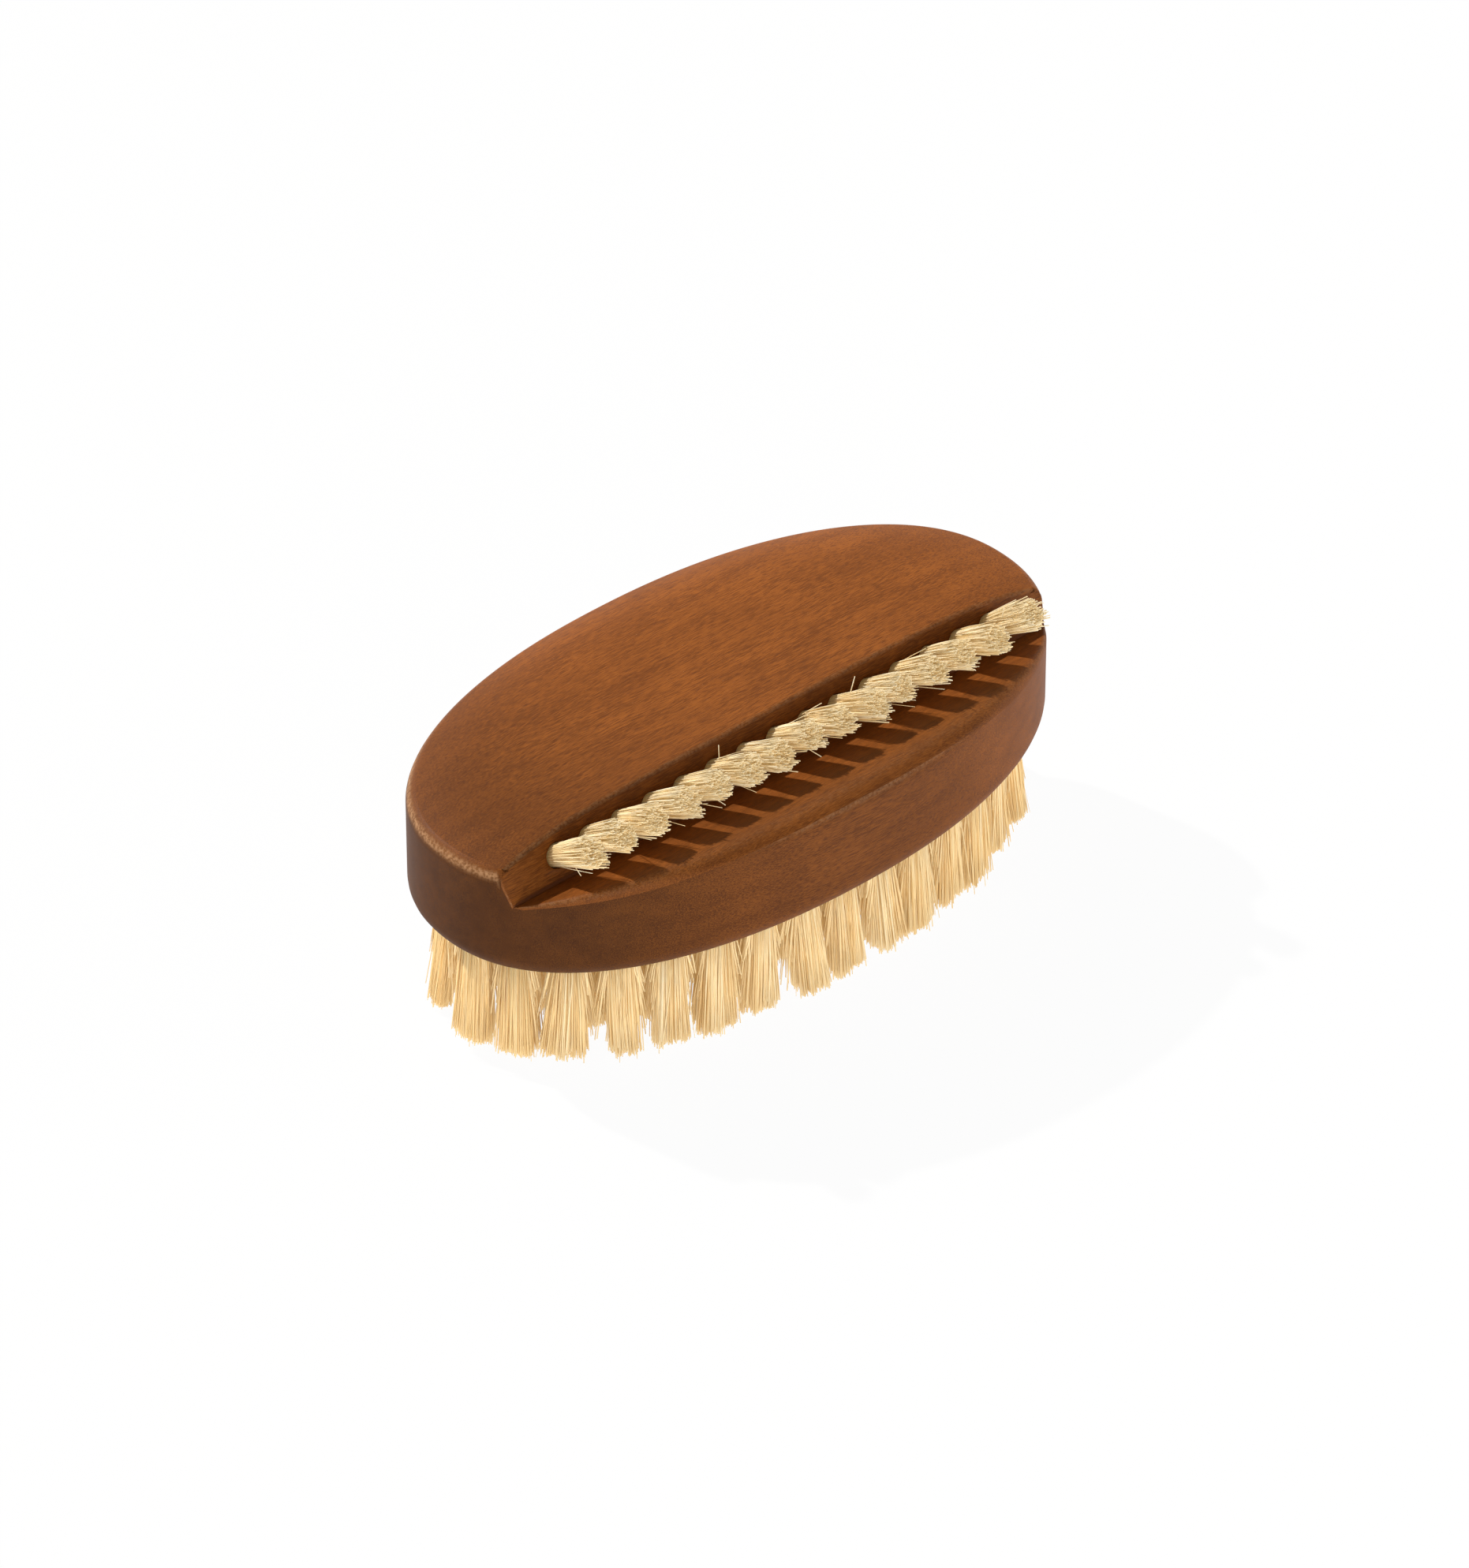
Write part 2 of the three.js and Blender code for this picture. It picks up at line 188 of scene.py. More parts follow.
# Hairs that stand away from the nail row: tuft number, then how far the tip lies across, up and out, in mm
NAIL_STRAYS = (
    (5, 0.0, 3.5, 2.9),
    (9, 0.2, 3.7, 5.2),
    (7, 0.2, -3.1, 7.8),
    (12, 0.0, -2.3, 9.1),
    (11, 0.3, -1.9, 10.4),
    (3, 0.2, -0.4, 9.6),
    (0, -1.6, -2.4, 6.0),
    (4, -0.6, -2.6, 8.6),
    (14, -1.4, 2.4, 6.8),
)


class BlockSizes(bpy.types.PropertyGroup):
    """Sizes of the wooden block and its groove."""

    length: bpy.props.FloatProperty(
        name="Length",
        description="Length of the oval outline",
        default=BLOCK_HIGH.x - BLOCK_LOW.x,
        unit="LENGTH",
    )
    width: bpy.props.FloatProperty(
        name="Width",
        description="Width of the oval outline",
        default=BLOCK_HIGH.y - BLOCK_LOW.y,
        unit="LENGTH",
    )
    outline_power: bpy.props.FloatProperty(
        name="Outline Power",
        description="Power of the superellipse that the outline follows",
        default=2.185,
    )
    side_height: bpy.props.FloatProperty(
        name="Side Height",
        description="Underside to the end of the rounded top edge",
        default=0.0159,
        unit="LENGTH",
    )
    crown_rise: bpy.props.FloatProperty(
        name="Crown Rise",
        description="Height of the crown above the rounded top edge",
        default=0.0022,
        unit="LENGTH",
    )
    crown_power: bpy.props.FloatProperty(
        name="Crown Power",
        description="How flat the middle of the crown is",
        default=5.65,
    )
    top_radius: bpy.props.FloatProperty(
        name="Top Edge Radius",
        description="Radius of the rounded top edge",
        default=0.0021,
        unit="LENGTH",
    )
    top_turn: bpy.props.FloatProperty(
        name="Top Edge Turn",
        description="Angle through which the top edge is rounded over",
        default=math.radians(66.0),
        subtype="ANGLE",
    )
    underside_radius: bpy.props.FloatProperty(
        name="Underside Radius",
        description="Radius of the rounded edge of the underside",
        default=0.00285,
        unit="LENGTH",
    )
    groove_tilt: bpy.props.FloatProperty(
        name="Groove Tilt",
        description="Slope of the groove's floor",
        default=math.radians(21.2),
        subtype="ANGLE",
    )
    groove_setback: bpy.props.FloatProperty(
        name="Groove Setback",
        description="Near side to the groove's corner line",
        default=0.016,
        unit="LENGTH",
    )
    groove_depth: bpy.props.FloatProperty(
        name="Groove Depth",
        description="Crown to the groove's corner line",
        default=0.007,
        unit="LENGTH",
    )
    lip_ease: bpy.props.FloatProperty(
        name="Lip Ease",
        description="Reach of the soft rounding where the floor meets the near edge",
        default=0.0022,
        unit="LENGTH",
    )
    edge_ease: bpy.props.FloatProperty(
        name="Edge Ease",
        description="Reach of the rounding on the groove's crisp edges",
        default=0.00045,
        unit="LENGTH",
    )


class NailRowSizes(bpy.types.PropertyGroup):
    """Sizes of the row of short tufts in the groove."""

    tufts: bpy.props.IntProperty(name="Tufts", description="Tufts in the row", default=15)
    margin: bpy.props.FloatProperty(
        name="Margin",
        description="End of the groove to the middle of the first hole",
        default=0.0084,
        unit="LENGTH",
    )
    hole_rise: bpy.props.FloatProperty(
        name="Hole Rise",
        description="Corner line to the middles of the holes, up the wall",
        default=0.0035,
        unit="LENGTH",
    )
    hole_diameter: bpy.props.FloatProperty(
        name="Hole Diameter", description="Diameter of a hole", default=0.0034, unit="LENGTH"
    )
    bristle_length: bpy.props.FloatProperty(
        name="Bristle Length",
        description="Length of the tufts beyond the wall",
        default=0.0082,
        unit="LENGTH",
    )
    tip_up: bpy.props.FloatProperty(
        name="Tip Up",
        description="How far the tufts are tipped up from square to the wall",
        default=math.radians(11.8),
        subtype="ANGLE",
    )
    strands: bpy.props.IntProperty(name="Strands", description="Strands in a tuft", default=620)
    strand_radius: bpy.props.FloatProperty(
        name="Strand Radius", description="Radius of one strand", default=0.000085, unit="LENGTH"
    )
    flare: bpy.props.FloatProperty(
        name="Flare", description="Spread of the tips along the row against the roots", default=1.16
    )
    flare_up: bpy.props.FloatProperty(
        name="Flare Up", description="Spread of the tips up and down against the roots", default=1.26
    )


class FaceSizes(bpy.types.PropertyGroup):
    """Sizes of the three rings of tufts under the block."""

    outer_inset: bpy.props.FloatProperty(
        name="Outer Inset",
        description="Outline to the middle of the outer ring",
        default=0.0056,
        unit="LENGTH",
    )
    ring_spacing: bpy.props.FloatProperty(
        name="Ring Spacing",
        description="From the middle of one ring to the next",
        default=0.00825,
        unit="LENGTH",
    )
    outer_tufts: bpy.props.IntProperty(
        name="Outer Tufts", description="Tufts in the outer ring", default=32
    )
    middle_tufts: bpy.props.IntProperty(
        name="Middle Tufts", description="Tufts in the middle ring", default=24
    )
    inner_tufts: bpy.props.IntProperty(
        name="Inner Tufts", description="Tufts in the inner ring", default=16
    )
    strands: bpy.props.IntProperty(name="Strands", description="Strands in a tuft", default=900)
    strand_radius: bpy.props.FloatProperty(
        name="Strand Radius", description="Radius of one strand", default=0.0001, unit="LENGTH"
    )
    root_reach: bpy.props.FloatProperty(
        name="Root Reach",
        description="Middle of a tuft to its outermost strands where they leave the wood",
        default=0.0019,
        unit="LENGTH",
    )
    flare_along: bpy.props.FloatProperty(
        name="Flare Along",
        description="Spread of the tips along the ring against the roots",
        default=1.1,
    )
    flare_out: bpy.props.FloatProperty(
        name="Flare Out",
        description="Spread of the tips out of the ring against the roots",
        default=1.0,
    )
    lean: bpy.props.FloatProperty(
        name="Lean",
        description="How far the outer tips stand out beyond their roots along the sides",
        default=0.0003,
        unit="LENGTH",
    )
    end_lean: bpy.props.FloatProperty(
        name="End Lean",
        description="How much further the outer tips stand out at the two ends",
        default=0.0018,
        unit="LENGTH",
    )
    inner_lean: bpy.props.FloatProperty(
        name="Inner Lean",
        description="How far the tips of the middle ring lean out towards the outer ring",
        default=0.0014,
        unit="LENGTH",
    )
    tip_spread: bpy.props.FloatProperty(
        name="Tip Spread",
        description="How uneven the lengths of the strands are",
        default=0.0025,
        unit="LENGTH",
    )


class Finishes(bpy.types.PropertyGroup):
    """Colours of the wood, the bristle and the anchors."""

    wood_light: bpy.props.FloatVectorProperty(
        name="Light Wood",
        description="Paler bands of the stained wood",
        default=(0.402, 0.122, 0.021),
        size=3,
        subtype="COLOR",
    )
    wood_dark: bpy.props.FloatVectorProperty(
        name="Dark Wood",
        description="Darker bands of the stained wood",
        default=(0.18, 0.05, 0.0074),
        size=3,
        subtype="COLOR",
    )
    # Also the colour of the painted shade in the groove's corner and holes
    wood_pore_and_shade: bpy.props.FloatVectorProperty(
        name="Wood Pores",
        description="Open pores along the grain",
        default=(0.09, 0.022, 0.004),
        size=3,
        subtype="COLOR",
    )
    # Also paints the sheen on worn edges, and the pale flecks
    wood_worn_and_sheen: bpy.props.FloatVectorProperty(
        name="Worn Wood",
        description="Wood where the stain is rubbed away",
        default=(0.5, 0.27, 0.13),
        size=3,
        subtype="COLOR",
    )
    # Colour of the painted shade, multiplied in by the wood's mask
    shade_depth: bpy.props.FloatVectorProperty(
        name="Stain Depth",
        description="How much darker the stain is on cut faces",
        default=(0.225, 0.225, 0.09),
        size=3,
        subtype="COLOR",
    )
    bristle_pale: bpy.props.FloatVectorProperty(
        name="Pale Bristle",
        description="Palest strands",
        default=(0.99, 0.88, 0.64),
        size=3,
        subtype="COLOR",
    )
    bristle_cream: bpy.props.FloatVectorProperty(
        name="Cream Bristle",
        description="Pale strands",
        default=(0.99, 0.82, 0.51),
        size=3,
        subtype="COLOR",
    )
    bristle_straw: bpy.props.FloatVectorProperty(
        name="Straw Bristle",
        description="Most strands",
        default=(0.88, 0.64, 0.31),
        size=3,
        subtype="COLOR",
    )
    bristle_glow: bpy.props.FloatVectorProperty(
        name="Bristle Glow",
        description="Light that passes through the strands, shown as a faint glow",
        default=(1.0, 0.68, 0.27),
        size=3,
        subtype="COLOR",
    )
    bristle_brown: bpy.props.FloatVectorProperty(
        name="Brown Bristle",
        description="The few dark strands",
        default=(0.42, 0.17, 0.07),
        size=3,
        subtype="COLOR",
    )
    steel: bpy.props.FloatVectorProperty(
        name="Steel",
        description="Drawn strip of the anchors",
        default=(0.5, 0.5, 0.51),
        size=3,
        subtype="COLOR",
    )


class StageSettings(bpy.types.PropertyGroup):
    """Camera, lamps and floor."""

    azimuth: bpy.props.FloatProperty(
        name="Azimuth",
        description="Turn of the camera about the upright axis",
        default=math.radians(-41.06),
        subtype="ANGLE",
    )
    elevation: bpy.props.FloatProperty(
        name="Elevation",
        description="Height of the camera above the horizon",
        default=math.radians(37.484),
        subtype="ANGLE",
    )
    distance: bpy.props.FloatProperty(
        name="Distance",
        description="Camera to the middle of the block",
        default=1.30017,
        unit="LENGTH",
    )
    focal_length: bpy.props.FloatProperty(
        name="Focal Length", description="Lens for a 36 mm sensor", default=235.18
    )
    shift: bpy.props.FloatVectorProperty(
        name="Shift",
        description="Framing of the picture",
        default=(0.003014, -0.032347),
        size=2,
    )
    key_way: bpy.props.FloatVectorProperty(
        name="Key Direction",
        description="From the object towards the key lamp",
        default=(-0.176, 0.729, 0.661),
        size=3,
        subtype="DIRECTION",
    )
    key_strength: bpy.props.FloatProperty(
        name="Key Strength", description="Strength of the key lamp", default=3.35
    )
    key_angle: bpy.props.FloatProperty(
        name="Key Angle",
        description="How large the key lamp looks",
        default=math.radians(1.6),
        subtype="ANGLE",
    )
    right_power: bpy.props.FloatProperty(
        name="Right Power",
        description="Power of the soft lamp low on the right",
        default=4.5,
        unit="POWER",
    )
    front_power: bpy.props.FloatProperty(
        name="Front Power",
        description="Power of the soft lamp low at the front",
        default=6.0,
        unit="POWER",
    )
    sky_strength: bpy.props.FloatProperty(
        name="Sky Strength", description="Even light from all round", default=0.22
    )
    floor_bounce: bpy.props.FloatProperty(
        name="Floor Bounce", description="How pale the floor is to the object", default=0.85
    )
    floor_glow: bpy.props.FloatProperty(
        name="Floor Glow",
        description="Light that comes up out of the floor, as from a light table",
        default=0.72,
    )


def unit(vectors):
    """Vectors divided by their lengths, with a zero vector left at zero."""
    lengths = np.linalg.norm(vectors, axis=-1, keepdims=True)
    return vectors / np.maximum(lengths, TINY)


def between(start, end, shares):
    """Points on straight lines: start plus the share times the way from start to end, for each share."""
    return start[:, None, :] + (end - start)[:, None, :] * shares[None, :, None]


def eased(before, at, after, shares):
    """Quadratic curve through before and after that is drawn towards the crease at: the weights are
    (1 - s) squared, twice s times (1 - s), and s squared."""
    s = shares[None, :, None]
    return (
        (1 - s) ** 2 * before[:, None, :] + 2 * s * (1 - s) * at[:, None, :] + s**2 * after[:, None, :]
    )


def smooth_step(value, low, high):
    """Rise from 0 at low to 1 at high along 3 t squared less 2 t cubed."""
    t = np.clip((value - low) / (high - low), 0.0, 1.0)
    return t * t * (3 - 2 * t)


def joined(*parts):
    """Coordinates of equal shape put together as points."""
    return np.stack(np.broadcast_arrays(*parts), axis=-1)


class BlockForm:
    """Formulas of the block's surface, in metres above its underside."""

    def __init__(self, sizes):
        self.half_length = sizes.length / 2
        self.half_width = sizes.width / 2
        self.power = sizes.outline_power
        self.side_height = sizes.side_height
        self.rise = sizes.crown_rise
        self.crown_power = sizes.crown_power
        self.radius = sizes.top_radius
        self.turn = sizes.top_turn
        self.underside_radius = sizes.underside_radius
        self.tilt = sizes.groove_tilt
        self.rim_inset = self.radius * (1 - math.cos(self.turn))
        round_start = self.side_height - self.radius * math.sin(self.turn)
        self.straight_run = round_start - self.underside_radius
        self.round_run = self.radius * self.turn
        self.full_run = self.straight_run + self.round_run
        self.corner_y = sizes.groove_setback - self.half_width
        self.corner_z = self.side_height + self.rise - sizes.groove_depth
        self.up_wall = np.array([0.0, math.sin(self.tilt), math.cos(self.tilt)])

    def half_share(self, share):
        """Half-width of the outline as a share, at a share of its half-length: the superellipse
        |x|^p + |y|^p = 1 solved for y."""
        return np.clip(1.0 - np.abs(share) ** self.power, 0.0, None) ** (1.0 / self.power)

    def outline_x(self, y):
        """Half-length of the outline at a distance from the long axis."""
        return self.half_length * float(self.half_share(y / self.half_width))

    def underside(self, share, sign, reach):
        """Points of the flat underside at a share of the way from the long axis to its rounded edge."""
        x = (self.half_length - self.underside_radius) * share
        y = sign * reach * (self.half_width - self.underside_radius) * self.half_share(share)
        return joined(x, y, 0.0)

    def underside_edge(self, share, sign, turn):
        """Points of the underside's rounded edge: a quarter circle from the flat to the side."""
        inset = self.underside_radius * (1 - math.sin(turn))
        height = self.underside_radius * (1 - math.cos(turn))
        y = sign * (self.half_width - inset) * self.half_share(share)
        return joined((self.half_length - inset) * share, y, height)

    def rim_share(self, run):
        """How far round the top edge a run is, from 0 at its start to 1 at its end."""
        return np.clip((run - self.straight_run) / self.round_run, 0.0, 1.0)

    def crown(self, share, y):
        """Height of the crown: the side height plus the rise, less the rise times the superellipse
        radius of the point to the crown power."""
        across = np.abs(y) / (self.half_width - self.rim_inset)
        radius = (np.abs(share) ** self.power + across**self.power) ** (1.0 / self.power)
        return self.side_height + self.rise * (1.0 - np.minimum(radius, 1.0) ** self.crown_power)

    def groove(self, y):
        """Height of the groove's faces: the wall rises steeply inwards from the corner line, and the
        floor rises gently outwards, square to it."""
        inward = y - self.corner_y
        slope = math.tan(self.tilt)
        return self.corner_z + np.maximum(inward / slope, -inward * slope)

    def side(self, share, run, sign):
        """Points of the side at a run above the underside's rounding: straight up, round the top edge
        by the run over its radius, then inwards over the crown."""
        turn = np.clip((run - self.straight_run) / self.radius, 0.0, self.turn)
        inset = self.radius * (1 - np.cos(turn))
        inward = np.clip(run - self.straight_run - self.round_run, 0.0, None)
        half = self.half_share(share)
        y = np.maximum((self.half_width - inset) * half - inward, 0.0)
        upright = self.underside_radius + np.clip(run, 0.0, self.straight_run)
        height = upright + self.radius * np.sin(turn)
        z = np.where(inward > 0.0, self.crown(share, y), height)
        return joined((self.half_length - inset) * share, sign * y, z)

    def cut_run(self, share):
        """Run at which the near side reaches the groove, or the end of the rounded edge where the
        groove doesn't reach: the first sign change of the height difference, found between samples."""
        runs = np.linspace(0.0, self.full_run + SEARCH_PAST, SIDE_SAMPLES)[None, :]
        points = self.side(share[:, None], runs, -1.0)
        over = points[..., 2] - self.groove(points[..., 1])
        hit = over > 0.0
        after = np.maximum(hit.argmax(axis=1), 1)
        rows = np.arange(len(share))
        high, low = over[rows, after], over[rows, after - 1]
        run = runs[0, after - 1] + (runs[0, after] - runs[0, after - 1]) * (-low) / (high - low)
        return np.where(hit.any(axis=1), run, self.full_run)

    def wall_top(self, share):
        """Line where the wall meets the crown: the wall's slope solved for y with the crown's height put
        back in until it settles, or the near rim where the groove doesn't reach."""
        y = np.full(len(share), self.corner_y)
        for _ in range(TOP_ROUNDS):
            y = self.corner_y + (self.crown(share, y) - self.corner_z) * math.tan(self.tilt)
        rim = -(self.half_width - self.rim_inset) * self.half_share(share)
        y = np.maximum(y, rim)
        return joined((self.half_length - self.rim_inset) * share, y, self.crown(share, y))


def nail_places(form, row):
    """Middles of the nail holes along X: equal steps between the margins at the ends of the groove."""
    half = form.outline_x(form.corner_y) - row.margin
    return np.linspace(-half, half, row.tufts)


def station_shares(form, row):
    """Sections along the block as shares of its half-length: equal steps across the cells of the nail
    holes, then steps to the end of the corner line, to the end of the wall and to the tip."""
    places = nail_places(form, row)
    pitch = places[1] - places[0]
    rim = form.half_length - form.rim_inset
    span = places[-1] + pitch / 2
    middle = np.linspace(-span, span, CELL_STEPS * row.tufts + 1) / rim
    corner = form.outline_x(form.corner_y) / form.half_length
    probe = np.linspace(corner, 1.0, END_SAMPLES)
    depth = form.wall_top(probe)[:, 1] + (form.half_width - form.rim_inset) * form.half_share(probe)
    wall = probe[np.argmax(depth < TINY)]
    steps = np.arange(1, END_STATIONS + 1) / END_STATIONS
    tip = wall + (1.0 - wall) * np.sin(steps * math.pi / 2)
    end = np.concatenate(
        [
            middle[-1] + (corner - middle[-1]) * steps,
            corner + (wall - corner) * steps,
            tip,
        ]
    )
    return np.concatenate([-end[::-1], middle, end]), len(end)


def hole_cells(row, pitch):
    """Grid of the wall's cells with a drilled hole in each: rings of the square cell are drawn onto circles
    inside the rim, blend back to the square at the cell's border, and go down inside the hole.

    Returns the places sideways and upright of the hole's middle, and the depth below the wall."""
    p = (np.arange(CELL_STEPS * row.tufts + 1) % CELL_STEPS / CELL_STEPS * 2 - 1)[:, None]
    q = np.linspace(-1.0, 1.0, CELL_STEPS + 1)[None, :]
    ring = np.maximum(np.abs(p), np.abs(q))
    safe = np.maximum(ring, TINY)
    across, upright = p / safe, q / safe
    levels = np.linspace(0.0, 1.0, len(HOLE_REACH))
    reach = np.interp(ring, levels, row.hole_diameter / 2 * HOLE_REACH)
    depth = np.interp(ring, levels, HOLE_DEPTH)
    blend = np.clip((ring - levels[-2]) / (1.0 - levels[-2]), 0.0, 1.0)
    side = reach * across * np.sqrt(1 - upright**2 / 2)
    rise = reach * upright * np.sqrt(1 - across**2 / 2)
    side = side * (1 - blend) + p * pitch / 2 * blend
    rise = rise * (1 - blend) + q * CELL_HALF * blend
    return side, rise, depth


class GrooveLines:
    """Creases of the groove at each section of the block: the lip, the corner and the top of the wall, with
    the reach of the rounding along each. Where the groove doesn't reach, the corner falls on the lip."""

    def __init__(self, form, sizes, share):
        ease = sizes.edge_ease
        self.cut = form.cut_run(share)
        self.lip = form.side(share[:, None], self.cut[:, None], -1.0)[:, 0]
        self.top = form.wall_top(share)
        self.inside = self.lip[:, 1] < form.corner_y
        blend = np.clip((form.corner_y - self.lip[:, 1]) / CORNER_BLEND, 0.0, 1.0)
        corner_x = self.lip[:, 0] * (1 - blend) + self.top[:, 0] * blend
        line = joined(corner_x, form.corner_y, form.corner_z)
        self.corner = np.where(self.inside[:, None], line, self.lip)
        floor, wall = self.corner - self.lip, self.top - self.corner
        floor_run = np.linalg.norm(floor, axis=1)
        self.wall_run = np.linalg.norm(wall, axis=1)
        self.softness = smooth_step(self.cut, form.straight_run - SOFT_START, form.full_run)
        soft_ease = np.minimum(ease + (sizes.lip_ease - ease) * self.softness, floor_run * LIP_EASE_SHARE)
        crisp_ease = np.minimum(ease, self.wall_run * EASE_SHARE)
        self.lip_ease = np.where(floor_run > 0, soft_ease, crisp_ease)
        self.corner_ease = np.minimum(ease * CORNER_EASE, np.minimum(floor_run, self.wall_run) * EASE_SHARE)
        self.top_ease = np.minimum(ease * TOP_EASE, self.wall_run * EASE_SHARE)
        self.up_wall = unit(wall)
        self.into_groove = unit(np.where(self.inside[:, None], floor, wall))


def drilled_wall(form, row, lines, ends):
    """Points of the groove's wall in rows from the corner to the top, with the nail holes: the rows round the
    holes are those of the square cells, and shrink with the wall beyond the row. Returns the points and the
    painted shade in the holes, which grows with the depth of a hole."""
    places = nail_places(form, row)
    pitch = places[1] - places[0]
    first, last = ends, len(lines.cut) - ends
    shrink = np.ones(len(lines.cut))
    shrink[:first] = lines.wall_run[:first] / lines.wall_run[first]
    shrink[last:] = lines.wall_run[last:] / lines.wall_run[last - 1]
    start = np.where(lines.inside, lines.corner_ease, lines.lip_ease)[:, None]
    low = ((row.hole_rise - CELL_HALF) * shrink)[:, None]
    high = ((row.hole_rise + CELL_HALF) * shrink)[:, None]
    end = (lines.wall_run - lines.top_ease)[:, None]
    margin = np.linspace(0.0, 1.0, CELL_MARGIN + 1)[None, :]
    cells = np.linspace(0.0, 1.0, CELL_STEPS + 1)[None, :]
    below = start + (low - start) * margin[:, :-1]
    above = high + (end - high) * margin[:, 1:]
    heights = np.concatenate([below, low + (high - low) * cells, above], axis=1)
    wall = lines.corner[:, None, :] + lines.up_wall[:, None, :] * heights[..., None]
    side, rise, depth = hole_cells(row, pitch)
    slope = form.tilt + row.tip_up
    into_wall = np.array([0.0, math.cos(slope), -math.sin(slope)])
    along = np.array([1.0, 0.0, 0.0])
    own_place = places[0] + pitch * (np.arange(CELL_STEPS * row.tufts + 1) // CELL_STEPS)
    middle = joined(own_place, form.corner_y, form.corner_z) + row.hole_rise * form.up_wall
    cell = middle[:, None, :] + side[..., None] * along + rise[..., None] * form.up_wall
    drilled = np.s_[first:last, CELL_MARGIN:-CELL_MARGIN]
    wall[drilled] = cell + depth[..., None] * into_wall
    # Painted shade down the holes, deeper with the hole
    soil = np.zeros(wall.shape[:2])
    soil[drilled] = np.clip(depth / HOLE_SHADE_DEPTH, 0.0, 1.0)
    return wall, soil


def stepped(way, least, *steps):
    """A look along the block: the least of it, plus a smooth step for each gain from a start to an end."""
    value = least
    for gain, start, end in steps:
        value = value + gain * smooth_step(way, start, end)
    return value[:, None]


def block_surface(sizes, row):
    """The whole block as one grid of sections along X by points round the section: underside, near side,
    lip, groove floor, wall, crown and far side. Returns points, wear with painted sheen, painted shade in
    the corner and holes, and painted shade on the faces."""
    form = BlockForm(sizes)
    share, ends = station_shares(form, row)
    lines = GrooveLines(form, sizes, share)
    wall, hole_shade = drilled_wall(form, row, lines, ends)
    # Painted shade along the cut faces and the crown, and wear with painted sheen along the rims
    cut_shade, faint, rubbed_and_sheen = (stepped(-share, *look) for look in (CUT_SHADE, CROWN_SHADE, RIM_WEAR_AND_SHEEN))
    inside = lines.inside[:, None]
    flat = np.linspace(0.0, 1.0, UNDERSIDE_POINTS)
    turns = np.linspace(0.0, math.pi / 2, EDGE_POINTS)
    climb = np.sin(np.linspace(0.0, 1.0, SIDE_POINTS) ** CLIMB_POWER * math.pi / 2)[None, 1:]
    sections = []

    def add(points, wear=0.0, soil=0.0, stain=cut_shade):
        """Puts the next points of every section in place, with their looks."""
        shape = points.shape[:2]
        sections.append((points, *(np.broadcast_to(value, shape) for value in (wear, soil, stain))))

    def wear_and_sheen_peak(turned):
        """Wear and painted sheen that peak half-way round an edge: the sine of the share of its turn, to a
        power.
        """
        return np.sin(turned * math.pi) ** PEAK_POWER

    # Underside, its rounded edge and the near side up to the lip.
    add(between(form.underside(share, -1, 0.0), form.underside(share, -1, 1.0), flat[:-1]))
    add(np.stack([form.underside_edge(share, -1, turn) for turn in turns], axis=1))
    near_end = (lines.cut - lines.lip_ease)[:, None]
    run = near_end * climb[:, :-1]
    turned = form.rim_share(run)
    # The near side's painted shade fades into the crown's over the rim
    over = np.where(inside, 0.0, smooth_step(turned, 0.0, 1.0))
    stain = cut_shade + (faint - cut_shade) * over
    add(form.side(share[:, None], run, -1.0), wear=wear_and_sheen_peak(turned) * rubbed_and_sheen, stain=stain)

    # Lip, floor and corner of the groove.
    fine = np.linspace(0.0, 1.0, LIP_POINTS)
    before = form.side(share[:, None], near_end, -1.0)[:, 0]
    after = lines.lip + lines.into_groove * lines.lip_ease[:, None]
    # Wear with painted sheen on the lip, less where it is soft
    sharp = LIP_WEAR_AND_SHEEN * (1.0 - lines.softness * SOFT_LOSS)[:, None]
    wear = wear_and_sheen_peak(fine)[None, :] * sharp
    # Painted shade on the lip, kept lighter than on the sides to paint a sheen
    add(eased(before, lines.lip, after, fine), wear=wear, stain=np.minimum(cut_shade, LIP_SHADE))
    floor_end = lines.corner + unit(lines.lip - lines.corner) * lines.corner_ease[:, None]
    steps = np.linspace(0.0, 1.0, FLOOR_POINTS)[1:]
    # Painted shade on the groove's floor
    add(between(after, np.where(inside, floor_end, after), steps), stain=FLOOR_SHADE)
    wall_start = lines.corner + lines.up_wall * lines.corner_ease[:, None]
    corner = eased(floor_end, lines.corner, wall_start, np.linspace(0.0, 1.0, CORNER_POINTS))
    # Painted shade along the corner
    add(np.where(inside[..., None], corner, after[:, None, :]), soil=CORNER_SHADE)

    # Wall, its top edge and the crown.
    # Painted shade on the wall and down its holes
    add(wall[:, 1:], soil=hole_shade[:, 1:], stain=WALL_SHADE)
    top = lines.top
    far_rim = (form.half_width - form.rim_inset) * form.half_share(share)
    crown_start = top[:, 1] + np.minimum(lines.top_ease, (far_rim - top[:, 1]) * EASE_SHARE)
    top_after = joined(top[:, 0], crown_start, form.crown(share, crown_start))
    bent = np.linspace(0.0, 1.0, TOP_POINTS)
    edge = eased(wall[:, -1], top, top_after, bent)[:, 1:]
    bent = bent[None, 1:]
    # Painted shade over the wall's top edge, growing into the crown's near edge
    stain = cut_shade + (faint + EDGE_SHADE - cut_shade) * bent
    add(edge, wear=np.sin(bent * math.pi) * EDGE_WEAR_AND_SHEEN, stain=stain)
    across = np.linspace(0.0, 1.0, CROWN_POINTS)[None, 1:]
    y = crown_start[:, None] + (far_rim - crown_start)[:, None] * across
    # Painted shade on the crown, more towards its near edge
    stain = faint + EDGE_SHADE * (1.0 - across)
    add(joined(top[:, :1], y, form.crown(share[:, None], y)), stain=stain)

